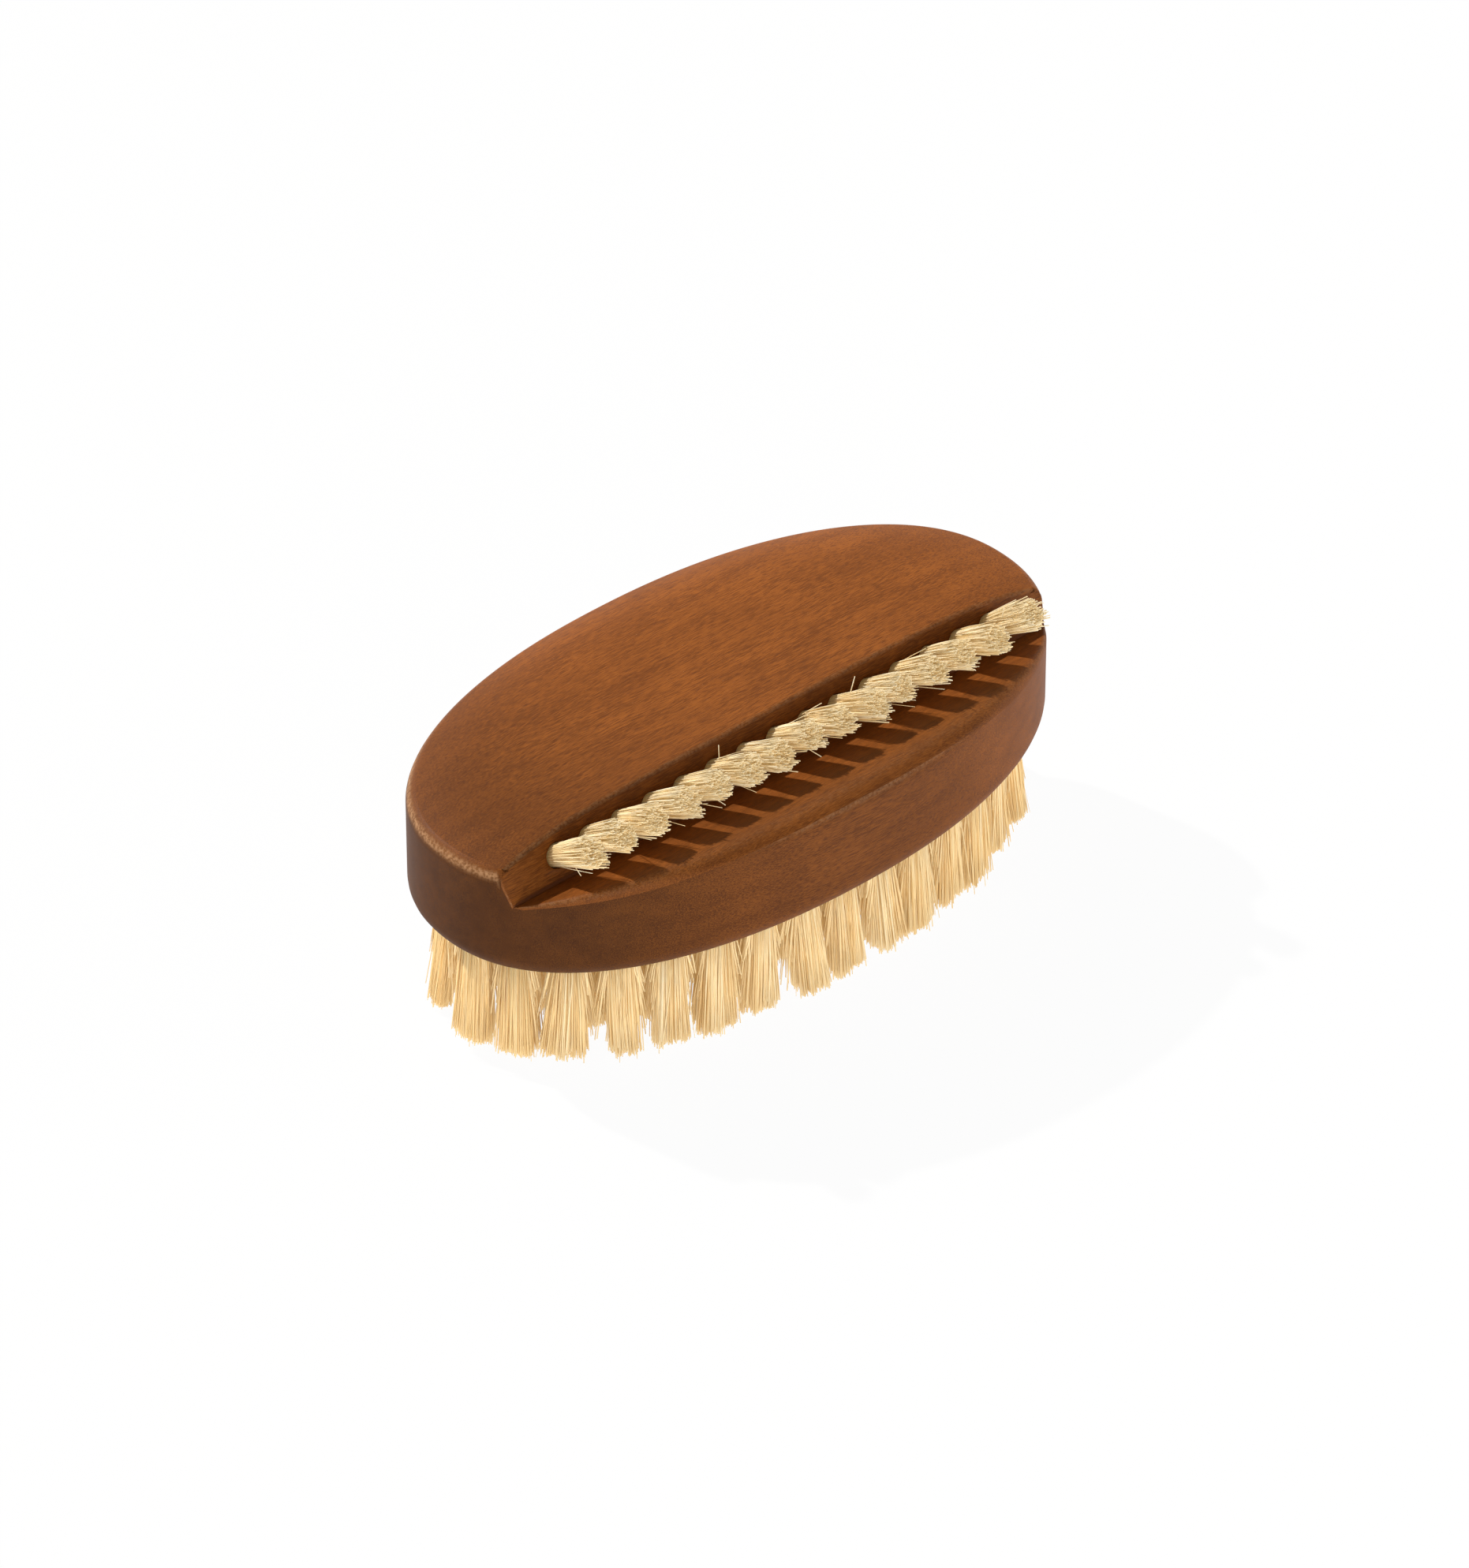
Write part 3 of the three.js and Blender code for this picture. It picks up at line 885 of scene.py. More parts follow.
    # Far side and its part of the underside.
    run = form.full_run * climb[:, ::-1][:, 1:]
    turned = form.rim_share(run)
    # The far side's painted shade fades into the crown's over the rim
    stain = cut_shade + (faint - cut_shade) * smooth_step(turned, 0.0, 1.0)
    add(form.side(share[:, None], run, 1.0), wear=wear_and_sheen_peak(turned) * rubbed_and_sheen, stain=stain)
    add(np.stack([form.underside_edge(share, 1, turn) for turn in turns[::-1]], axis=1))
    add(between(form.underside(share, 1, 1.0), form.underside(share, 1, 0.0), flat[1:-1]))
    return [np.concatenate(parts, axis=1) for parts in zip(*sections)]


def closed_grid(points):
    """Faces of a grid that closes round its second index, with points that fall together merged and the
    faces that shrink to a line dropped. Returns kept point numbers, quads and triangles."""
    rows, columns = points.shape[:2]
    flat = points.reshape(-1, 3)
    keys = np.round(flat / SAME_POINT).astype(np.int64)
    _, kept, number = np.unique(keys, axis=0, return_index=True, return_inverse=True)
    number = number.reshape(rows, columns)
    ahead = np.roll(number, -1, axis=1)
    quads = np.stack([number[:-1], number[1:], ahead[1:], ahead[:-1]], axis=-1).reshape(-1, 4)
    same = quads == np.roll(quads, -1, axis=1)
    merged = same.sum(axis=1)
    spread = (quads[:, 0] != quads[:, 2]) & (quads[:, 1] != quads[:, 3])
    whole, pinched = spread & (merged == 0), spread & (merged == 1)
    first = np.argmax(same[pinched], axis=1)
    order = (first[:, None] + 1 + np.arange(3)) % 4
    return kept, quads[whole], np.take_along_axis(quads[pinched], order, axis=1)


def new_piece(name, cad_node, points, faces, attributes, material):
    """A mesh object from points and lists of faces, with one number per point for each attribute, that
    stands for a CAD node and moves with the brush."""
    mesh = bpy.data.meshes.new(name)
    sizes = np.concatenate([np.full(len(group), group.shape[1]) for group in faces])
    corners = np.concatenate([group.reshape(-1) for group in faces])
    mesh.vertices.add(len(points))
    mesh.vertices.foreach_set("co", np.ascontiguousarray(points, dtype=np.float32).reshape(-1))
    mesh.loops.add(len(corners))
    mesh.loops.foreach_set("vertex_index", corners.astype(np.int32))
    mesh.polygons.add(len(sizes))
    starts = np.concatenate([[0], np.cumsum(sizes)[:-1]])
    mesh.polygons.foreach_set("loop_start", starts.astype(np.int32))
    for key, values in attributes.items():
        layer = mesh.attributes.new(key, "FLOAT", "POINT")
        layer.data.foreach_set("value", np.ascontiguousarray(values, dtype=np.float32))
    mesh.update(calc_edges=True)
    if mesh.validate():
        raise RuntimeError("the mesh of " + name + " has faulty faces")
    mesh.shade_smooth()
    mesh.materials.append(material)
    piece = bpy.data.objects.new(name, mesh)
    bpy.context.collection.objects.link(piece)
    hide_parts(cad_node)
    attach(piece, "root")


class TuftRow:
    """Mouths of the holes in a row, with each tuft's directions across, upright and out of its hole."""

    def __init__(self, mouths, across, upright, out):
        self.mouths, self.across, self.upright, self.out = mouths, across, upright, out

    def placed(self, a, b, c):
        """Points at distances across, upright and out from each tuft's mouth."""
        return (
            self.mouths[:, None, :]
            + a[..., None] * self.across[:, None, :]
            + b[..., None] * self.upright[:, None, :]
            + c[..., None] * self.out[:, None, :]
        )


class TuftHabit(NamedTuple):
    """How the strands of a kind of tuft lie."""

    sink: float  # depth of the roots in the wood
    loose: float  # how far tips stray
    square: float  # how square the outline of the tips is
    clumped: float  # how far tips are drawn to the middles of their clumps
    taper: np.ndarray  # thickness along a strand
    core_share: float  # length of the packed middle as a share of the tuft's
    core_tint: float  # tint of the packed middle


NAIL_HABIT = TuftHabit(
    sink=0.0015,
    loose=0.00022,
    square=0.1,
    clumped=0.0,
    taper=np.array([1.0, 1.0, 0.9]),
    core_share=0.8,
    core_tint=0.8,
)
FACE_HABIT = TuftHabit(
    sink=0.001,
    loose=0.00025,
    square=0.95,
    clumped=0.15,
    taper=np.array([1.0, 1.0, 0.75]),
    core_share=0.88,
    core_tint=0.55,
)


def tuft_discs(random, tufts, strands):
    """Places of the strands in a unit disc, spread by the golden angle, and the clump that each belongs to:
    the nearest of a few middles spread the same way. Returns the places, the clumps and the way from each
    strand to its clump's middle."""
    order = np.arange(strands)[None, :]
    angle = GOLDEN_ANGLE * (order + DISC_TURN * np.arange(tufts)[:, None])
    angle = angle + random.normal(0, ANGLE_SPREAD, (tufts, strands))
    reach = np.sqrt((order + 0.5) / strands) * (1 + random.normal(0, REACH_SPREAD, (tufts, strands)))
    disc = joined(reach * np.cos(angle), reach * np.sin(angle))
    turn = GOLDEN_ANGLE * (np.arange(CLUMPS)[None, :] + CLUMP_TURN * np.arange(tufts)[:, None])
    out = np.sqrt((np.arange(CLUMPS) + 0.5) / CLUMPS)[None, :]
    middles = joined(out * np.cos(turn), out * np.sin(turn))
    middles = middles + random.normal(0, CLUMP_SPREAD, (tufts, CLUMPS, 2))
    gaps = np.linalg.norm(disc[:, :, None, :] - middles[:, None, :, :], axis=-1)
    clump = gaps.argmin(axis=-1)
    pull = np.take_along_axis(middles, clump[..., None], axis=1) - disc
    return disc, clump, pull


def tip_growth(disc, flare, square):
    """How much further from the middle a tip is than its root: the flare, divided by the larger part of the
    strand's direction to the power square, so that round roots spread into squarer tips."""
    return flare / np.abs(unit(disc)).max(axis=-1, keepdims=True) ** square


def strand_paths(row, disc, spread, lengths, reach, sink, bend):
    """Middle lines from places in the holes' discs to the spread tips, a length further out. They bend on the
    way by four times t times (1 - t) of the bend at a share t."""
    root = row.placed(reach * disc[..., 0], reach * disc[..., 1], np.full(lengths.shape, -sink))
    tip = row.placed(spread[..., 0], spread[..., 1], lengths)
    bulge = bend[..., :1] * row.across[:, None, :] + bend[..., 1:] * row.upright[:, None, :]
    t = STRAND_STEPS[None, None, :, None]
    path = (1 - t) * root[:, :, None, :] + t * tip[:, :, None, :]
    path = path + 4 * t * (1 - t) * bulge[:, :, None, :]
    return path.reshape(-1, STRAND_RINGS, 3)


def tuft_paths(random, row, habit, disc, pull, lengths, reach, flare, lean):
    """Middle lines of the strands of many tufts. The tips grow apart by the flare, more at the rim, are drawn
    a little towards their clumps' middles, and are as loose as the habit says. A few strands are wild and
    stray further. Returns the paths and which strands are wild."""
    fray = 1 + FRAY * np.linalg.norm(disc, axis=-1) ** 3 * random.random(lengths.shape)
    grow = tip_growth(disc, flare, habit.square) * fray[..., None]
    wild = random.random(lengths.shape) < WILD_SHARE
    stray = random.normal(0, habit.loose, disc.shape) * np.where(wild, WILD_REACH, 1.0)[..., None]
    spread = reach * grow * (disc + habit.clumped * pull) + lean[:, None, :] + stray
    bend = random.normal(0, BEND_SHARE * habit.loose, disc.shape)
    return strand_paths(row, disc, spread, lengths, reach, habit.sink, bend), wild.reshape(-1)


def core_paths(random, row, habit, length, reach, flare, lean):
    """Middle lines of the thick strands that stand for the closely packed inside of each tuft: the inner part
    of the disc, up to a share of the tuft's length."""
    shape = (len(row.mouths), CORE_STRANDS)
    disc = CORE_REACH * tuft_discs(random, *shape)[0]
    spread = reach * tip_growth(disc, flare, habit.square) * disc + lean[:, None, :]
    lengths = habit.core_share * length * random.uniform(CORE_SHORTEST, 1.0, shape)
    return strand_paths(row, disc, spread, lengths, reach, habit.sink, np.zeros(disc.shape))


def gap_paths(random, row, habit, length, reach):
    """Middle lines of the shorter strands that lean out into the gaps on both sides of each tuft."""
    shape = (len(row.mouths), GAP_STRANDS)
    side = random.choice([-1.0, 1.0], shape)
    disc = joined(side * random.uniform(*GAP_SIDE, shape), random.uniform(*GAP_UPRIGHT, shape))
    spread = reach * disc
    spread[..., 0] += side * random.uniform(*GAP_LEAN, shape)
    lengths = length * (GAP_SHORTEST + GAP_UNEVEN * random.random(shape) ** 2)
    bend = random.normal(0, GAP_BEND, disc.shape)
    return strand_paths(row, disc, spread, lengths, reach, habit.sink, bend)


def strand_tints(random, clump):
    """One number from 0 to 1 for each strand: a little over half is its clump's and the rest its own."""
    shared = np.take_along_axis(random.random((len(clump), CLUMPS)), clump, axis=1)
    return (CLUMP_PART * shared + OWN_PART * random.random(clump.shape)).reshape(-1)


def stray_paths(row, strays):
    """Hairs that leave their tufts: straight out of the mouth at first, then bending to their tips as the
    square of the share of the way. Returns the paths and the numbers of the tufts."""
    numbers = np.array([stray[0] for stray in strays])
    a, b, c = np.array([stray[1:] for stray in strays]).T[:, :, None, None] * MM
    t = STRAND_STEPS[None, :, None]
    bend = a * row.across[numbers, None, :] + b * row.upright[numbers, None, :]
    return row.mouths[numbers, None, :] + t * c * row.out[numbers, None, :] + t**2 * bend, numbers


def strand_mesh(paths, radii, taper, across, upright):
    """Slim prisms along paths: each ring is a small polygon in the plane of the two given directions, and
    both ends are capped. Returns points, quads and triangles."""
    count, rings = paths.shape[:2]
    angles = np.arange(STRAND_SIDES) * 2 * math.pi / STRAND_SIDES
    turn = (np.arange(count) * GOLDEN_ANGLE)[:, None] + angles[None, :]
    size = radii[:, None, None] * taper[None, :, None]
    offsets = (
        np.cos(turn)[:, None, :, None] * across[:, None, None, :]
        + np.sin(turn)[:, None, :, None] * upright[:, None, None, :]
    )
    points = paths[:, :, None, :] + offsets * size[..., None]
    number = np.arange(count * rings * STRAND_SIDES).reshape(count, rings, STRAND_SIDES)
    ahead = np.roll(number, -1, axis=2)
    quads = np.stack([number[:, :-1], ahead[:, :-1], ahead[:, 1:], number[:, 1:]], axis=-1)
    tips, roots = number[:, -1], number[:, 0, ::-1]
    return points.reshape(-1, 3), quads.reshape(-1, 4), np.concatenate([tips, roots])


def add_strands(name, cad_node, random, row, radius, habit, material, *kinds):
    """Pieces of many strands, parted by tufts into as many as their triangles need. Each kind of strand gives
    its paths, the numbers of their tufts, their tints and their thickness as a multiple of the radius. The
    tint, whether a strand is one of the few dark ones, and the run from root to tip are attributes."""
    paths, tufts, tint = (np.concatenate([kind[place] for kind in kinds]) for place in range(3))
    thickness = np.concatenate([np.broadcast_to(kind[3], len(kind[0])) for kind in kinds])
    uneven = np.clip(random.normal(0, 1, len(paths)), -2, 2)
    radii = radius * thickness * (1 + RADIUS_SPREAD * uneven)
    dark = (random.random(len(paths)) < DARK_SHARE) & (thickness < CORE_THICKNESS)
    strand_points = STRAND_RINGS * STRAND_SIDES
    strand_faces = 2 * STRAND_SIDES * (STRAND_RINGS - 1) + 2 * (STRAND_SIDES - 2)
    parts = math.ceil(len(paths) * strand_faces / PIECE_FACES)
    part_of = tufts * parts // (tufts.max() + 1)
    for part in range(parts):
        own = part_of == part
        points, quads, ends = strand_mesh(
            paths[own], radii[own], habit.taper, row.across[tufts[own]], row.upright[tufts[own]]
        )
        attributes = {
            "tint": np.repeat(tint[own], strand_points),
            "dark": np.repeat(dark[own], strand_points),
            "run": np.tile(np.repeat(STRAND_STEPS, STRAND_SIDES), own.sum()),
        }
        label = name if parts == 1 else name + "_" + str(part + 1)
        new_piece(label, cad_node, points, [quads, ends], attributes, material)


def per_tuft(tufts, strands):
    """Numbers of the tufts that strands belong to, with the same count of strands in each tuft."""
    return np.repeat(np.arange(tufts), strands)


def ring_places(form, inset, count):
    """Places at equal steps along the outline drawn in by an inset, from its +X end, with the way outwards
    at each: the gradient of the oval."""
    angle = np.linspace(0.0, 2 * math.pi, OUTLINE_SAMPLES)
    bent_x = np.sign(np.cos(angle)) * np.abs(np.cos(angle)) ** (2 / form.power)
    bent_y = np.sign(np.sin(angle)) * np.abs(np.sin(angle)) ** (2 / form.power)
    line = joined((form.half_length - inset) * bent_x, (form.half_width - inset) * bent_y)
    run = np.concatenate([[0.0], np.cumsum(np.linalg.norm(np.diff(line, axis=0), axis=1))])
    marks = np.arange(count) * run[-1] / count
    x, y = np.interp(marks, run, line[:, 0]), np.interp(marks, run, line[:, 1])
    out = unit(joined(x / form.half_length**2, y / form.half_width**2))
    return x, y, out


def node(tree, kind, place, **values):
    """A shader node at a place in the tree, with its settings and unlinked inputs filled in."""
    made = tree.nodes.new(kind)
    made.location = place
    for key, value in values.items():
        if key in made.inputs:
            made.inputs[key].default_value = value
        else:
            setattr(made, key, value)
    return made


def link(tree, source, target):
    """Joins an output socket to an input socket."""
    tree.links.new(source, target)


def feed(tree, target, value):
    """Gives an input socket what it works with: another socket, a number or a colour."""
    if isinstance(value, bpy.types.NodeSocket):
        link(tree, value, target)
    elif isinstance(value, (int, float)):
        target.default_value = value
    else:
        target.default_value = (*value, 1.0)


def mixed(tree, place, factor, first, second, blend="MIX"):
    """A colour mix whose inputs are sockets, colours or numbers. Returns its result socket."""
    made = node(tree, "ShaderNodeMix", place, data_type="RGBA", blend_type=blend)
    for number, value in ((0, factor), (6, first), (7, second)):
        feed(tree, made.inputs[number], value)
    return made.outputs[2]


def calc(tree, place, operation, first, second):
    """One step of arithmetic on two sockets or numbers. Returns its result socket."""
    made = node(tree, "ShaderNodeMath", place, operation=operation)
    feed(tree, made.inputs[0], first)
    feed(tree, made.inputs[1], second)
    return made.outputs[0]


def ranged(tree, place, value, low, high, to_low=0.0, to_high=1.0):
    """A value moved from one range to another along a smooth step. Returns its result socket."""
    made = node(tree, "ShaderNodeMapRange", place, interpolation_type="SMOOTHSTEP")
    link(tree, value, made.inputs["Value"])
    for key, number in (("From Min", low), ("From Max", high), ("To Min", to_low), ("To Max", to_high)):
        made.inputs[key].default_value = number
    return made.outputs["Result"]


def new_group(name, inputs, outputs):
    """An empty shader node group with named sockets. Returns the tree, its input and its output nodes."""
    tree = bpy.data.node_groups.new(name, "ShaderNodeTree")
    for key, kind, default in inputs:
        socket = tree.interface.new_socket(name=key, in_out="INPUT", socket_type=kind)
        if default is not None:
            socket.default_value = default
    for key, kind in outputs:
        tree.interface.new_socket(name=key, in_out="OUTPUT", socket_type=kind)
    return tree, node(tree, "NodeGroupInput", (-900, 0)), node(tree, "NodeGroupOutput", (700, 0))


def streaks_group():
    """Fine streaks along X: noise whose coordinates are stretched along the grain, at the given width in mm
    and at about a quarter of it."""
    name = "Grain Streaks"
    if name in bpy.data.node_groups:
        return bpy.data.node_groups[name]
    tree, given, result = new_group(
        name,
        [("Width", "NodeSocketFloat", 0.4), ("Stretch", "NodeSocketFloat", 0.05)],
        [("Streak", "NodeSocketFloat"), ("Fine", "NodeSocketFloat")],
    )
    place = node(tree, "ShaderNodeTexCoord", (-900, 300))
    scale = calc(tree, (-700, 0), "DIVIDE", 1.0 / MM, given.outputs["Width"])
    along = calc(tree, (-520, 60), "MULTIPLY", scale, given.outputs["Stretch"])
    scales = node(tree, "ShaderNodeCombineXYZ", (-340, 0))
    link(tree, along, scales.inputs[0])
    link(tree, scale, scales.inputs[1])
    link(tree, scale, scales.inputs[2])
    sized = node(tree, "ShaderNodeVectorMath", (-160, 200), operation="MULTIPLY")
    link(tree, place.outputs["Object"], sized.inputs[0])
    link(tree, scales.outputs[0], sized.inputs[1])
    wide = node(tree, "ShaderNodeTexNoise", (60, 200), Scale=1.0, Detail=3.0, Roughness=0.6)
    link(tree, sized.outputs[0], wide.inputs["Vector"])
    fine = node(tree, "ShaderNodeTexNoise", (60, -100), Scale=3.7, Detail=2.0, Roughness=0.7)
    link(tree, sized.outputs[0], fine.inputs["Vector"])
    link(tree, wide.outputs["Fac"], result.inputs["Streak"])
    link(tree, fine.outputs["Fac"], result.inputs["Fine"])
    return tree


def mottle_group():
    """Soft patches and small flecks: noise at a patch size in mm, and finer noise cut off near its peaks."""
    name = "Mottle"
    if name in bpy.data.node_groups:
        return bpy.data.node_groups[name]
    tree, given, result = new_group(
        name,
        [("Patch", "NodeSocketFloat", 6.0), ("Fleck", "NodeSocketFloat", 0.35)],
        [("Patches", "NodeSocketFloat"), ("Flecks", "NodeSocketFloat")],
    )
    place = node(tree, "ShaderNodeTexCoord", (-900, 300))
    for key, output, row, low, high in (
        ("Patch", "Patches", 200, 0.3, 0.7),
        ("Fleck", "Flecks", -150, 0.7, 0.78),
    ):
        scale = calc(tree, (-600, row), "DIVIDE", 1.0 / MM, given.outputs[key])
        noise = node(tree, "ShaderNodeTexNoise", (-350, row), Detail=2.0, Roughness=0.55)
        link(tree, place.outputs["Object"], noise.inputs["Vector"])
        link(tree, scale, noise.inputs["Scale"])
        value = ranged(tree, (100, row), noise.outputs["Fac"], low, high)
        link(tree, value, result.inputs[output])
    return tree


def use_group(tree, group, place, **values):
    """A group placed in a tree with its own values."""
    return node(tree, "ShaderNodeGroup", place, node_tree=group, **values)


def new_material(name):
    """A material with a Principled shader. Returns the material, its tree and the shader."""
    material = bpy.data.materials.new(name)
    material.use_nodes = True
    tree = material.node_tree
    shader = tree.nodes["Principled BSDF"]
    shader.location = (900, 0)
    tree.nodes["Material Output"].location = (1200, 0)
    return material, tree, shader


def wood_material(finish):
    """Stained wood: fine fibres and soft bands along X between two browns, dark pores, pale flecks, painted
    shade on the cut faces, the groove and the -X end, rubbed edges with a painted sheen, and painted shade
    in the groove's corner and holes."""
    material, tree, shader = new_material("stained_wood")
    grain = use_group(tree, streaks_group(), (-900, 300), Width=0.075, Stretch=0.05)
    bands = use_group(tree, streaks_group(), (-900, 100), Width=2.2, Stretch=0.14)
    pores = use_group(tree, streaks_group(), (-900, -100), Width=0.36, Stretch=0.06)
    mottle = use_group(tree, mottle_group(), (-900, -300), Patch=11.0, Fleck=0.25)
    fibre = calc(tree, (-650, 300), "MULTIPLY", grain.outputs["Streak"], 0.8)
    band = calc(tree, (-650, 150), "MULTIPLY", bands.outputs["Streak"], 0.2)
    tone = calc(tree, (-480, 250), "ADD", fibre, band)
    tone = ranged(tree, (-300, 250), tone, 0.41, 0.59)
    colour = mixed(tree, (-80, 250), tone, finish.wood_dark, finish.wood_light)
    patch = ranged(tree, (-300, 0), mottle.outputs["Patches"], 0.0, 1.0, 0.0, 0.27)
    colour = mixed(tree, (100, 200), patch, colour, finish.wood_dark)
    open_pore = ranged(tree, (-300, -150), pores.outputs["Fine"], 0.6, 0.74, 0.0, 0.6)
    colour = mixed(tree, (280, 180), open_pore, colour, finish.wood_pore_and_shade)
    fleck = ranged(tree, (-300, -300), mottle.outputs["Flecks"], 0.0, 1.0, 0.0, 0.45)
    colour = mixed(tree, (440, 160), fleck, colour, finish.wood_worn_and_sheen)
    # Painted shade: the masked faces are multiplied darker
    stain = node(tree, "ShaderNodeAttribute", (-300, -800), attribute_name="stain")
    colour = mixed(tree, (520, 150), stain.outputs["Fac"], colour, finish.shade_depth, "MULTIPLY")
    # Wear with painted sheen: rubbed edges turn paler, broken up by speckles
    wear = node(tree, "ShaderNodeAttribute", (-300, -480), attribute_name="wear")
    speckle = use_group(tree, mottle_group(), (-900, -500), Patch=0.4, Fleck=0.2)
    speckle_amount = ranged(tree, (-300, -400), speckle.outputs["Patches"], 0.0, 1.0, 0.14, 0.5)
    rubbed_and_sheen = calc(tree, (-80, -480), "MULTIPLY", wear.outputs["Fac"], speckle_amount)
    colour = mixed(tree, (600, 140), rubbed_and_sheen, colour, finish.wood_worn_and_sheen)
    # Painted shade in the groove's corner and down the holes, in the pores' colour
    soil = node(tree, "ShaderNodeAttribute", (-300, -640), attribute_name="soil")
    crease_darkening = ranged(tree, (100, -640), soil.outputs["Fac"], 0.0, 1.0, 0.0, 0.8)
    colour = mixed(tree, (740, 120), crease_darkening, colour, finish.wood_pore_and_shade)
    link(tree, colour, shader.inputs["Base Color"])
    rough = ranged(tree, (440, -200), grain.outputs["Streak"], 0.2, 0.8, 0.42, 0.62)
    link(tree, rough, shader.inputs["Roughness"])
    relief = calc(tree, (280, -320), "SUBTRACT", grain.outputs["Streak"], open_pore)
    bump = node(tree, "ShaderNodeBump", (600, -320), Strength=0.4, Distance=0.00004)
    link(tree, relief, bump.inputs["Height"])
    link(tree, bump.outputs["Normal"], shader.inputs["Normal"])
    shader.inputs["Specular IOR Level"].default_value = 0.1
    return material


def bristle_material(finish):
    """Natural bristle: each strand has its own tint from straw to cream and pale, a few are dark, and soft
    patches lie along them. Roots are painted deeper, as painted shade under the block. A faint glow stands
    for the light that passes through the strands."""
    name = "natural_bristle"
    if name in bpy.data.materials:
        return bpy.data.materials[name]
    material, tree, shader = new_material(name)
    tint = node(tree, "ShaderNodeAttribute", (-900, 200), attribute_name="tint")
    dark = node(tree, "ShaderNodeAttribute", (-900, 0), attribute_name="dark")
    run = node(tree, "ShaderNodeAttribute", (-900, -200), attribute_name="run")
    mottle = use_group(tree, mottle_group(), (-900, -400), Patch=1.6, Fleck=0.3)
    pale = ranged(tree, (-600, 250), tint.outputs["Fac"], 0.15, 0.8)
    colour = mixed(tree, (-350, 250), pale, finish.bristle_straw, finish.bristle_cream)
    palest = ranged(tree, (-600, 400), tint.outputs["Fac"], 0.7, 1.0)
    colour = mixed(tree, (-220, 300), palest, colour, finish.bristle_pale)
    patch = ranged(tree, (-350, -350), mottle.outputs["Patches"], 0.0, 1.0, 0.0, 0.25)
    colour = mixed(tree, (-100, 200), patch, colour, finish.bristle_straw)
    # Painted shade: strands turn deeper towards their roots under the block
    root = ranged(tree, (-350, -150), run.outputs["Fac"], 0.0, 0.4, 0.5, 0.0)
    colour = mixed(tree, (100, 150), root, colour, finish.bristle_straw)
    fade = ranged(tree, (-350, 0), run.outputs["Fac"], 0.3, 0.8, 0.8, 0.2)
    stain = calc(tree, (-100, 0), "MULTIPLY", dark.outputs["Fac"], fade)
    colour = mixed(tree, (300, 120), stain, colour, finish.bristle_brown)
    link(tree, colour, shader.inputs["Base Color"])
    rough = ranged(tree, (300, -250), tint.outputs["Fac"], 0.0, 1.0, 0.6, 0.42)
    link(tree, rough, shader.inputs["Roughness"])
    shader.inputs["Specular IOR Level"].default_value = 0.35
    shader.inputs["Emission Color"].default_value = (*finish.bristle_glow, 1.0)
    shader.inputs["Emission Strength"].default_value = 0.07
    return material


def steel_material(finish):
    """Drawn steel strip: fine lines along X in colour, roughness and relief."""
    material, tree, shader = new_material("drawn_steel")
    lines = use_group(tree, streaks_group(), (-700, 100), Width=0.2, Stretch=0.03)
    mottle = use_group(tree, mottle_group(), (-700, -150), Patch=1.2, Fleck=0.2)
    tone = ranged(tree, (-450, 100), lines.outputs["Streak"], 0.3, 0.7)
    dull = tuple(0.7 * value for value in finish.steel)
    colour = mixed(tree, (-200, 100), tone, dull, finish.steel)
    patch = ranged(tree, (-450, -150), mottle.outputs["Patches"], 0.0, 1.0, 0.0, 0.3)
    colour = mixed(tree, (50, 50), patch, colour, dull)
    link(tree, colour, shader.inputs["Base Color"])
    rough = ranged(tree, (50, -150), lines.outputs["Fine"], 0.2, 0.8, 0.28, 0.45)
    link(tree, rough, shader.inputs["Roughness"])
    bump = node(tree, "ShaderNodeBump", (300, -300), Strength=0.3, Distance=0.00002)
    link(tree, lines.outputs["Fine"], bump.inputs["Height"])
    link(tree, bump.outputs["Normal"], shader.inputs["Normal"])
    shader.inputs["Metallic"].default_value = 1.0
    return material


def shown_white(tree, place):
    """One for rays that the camera, a gloss or a glass sends, and zero for the rest."""
    x, y = place
    path = node(tree, "ShaderNodeLightPath", place).outputs
    seen = calc(tree, (x + 200, y), "MAXIMUM", path["Is Camera Ray"], path["Is Glossy Ray"])
    return calc(tree, (x + 380, y), "MAXIMUM", seen, path["Is Transmission Ray"])


class NAILBRUSH_OT_block(bpy.types.Operator):
    """Make the wooden block with its groove and nail holes"""

    bl_idname = "nail_brush.block"
    bl_label = "Wooden Block"

    def execute(self, context):
        scene = context.scene
        points, *looks = block_surface(scene.nail_brush_block, scene.nail_brush_nail_row)
        points = points + np.array([0.0, 0.0, BLOCK_LOW.z])
        kept, quads, triangles = closed_grid(points)
        # Wear with painted sheen, painted shade in the corner and holes, and painted shade on the faces
        names = ("wear", "soil", "stain")
        attributes = {key: values.reshape(-1)[kept] for key, values in zip(names, looks)}
        points = points.reshape(-1, 3)[kept]
        material = wood_material(scene.nail_brush_finish)
        new_piece("wooden_block", "block", points, [quads, triangles], attributes, material)
        return {"FINISHED"}


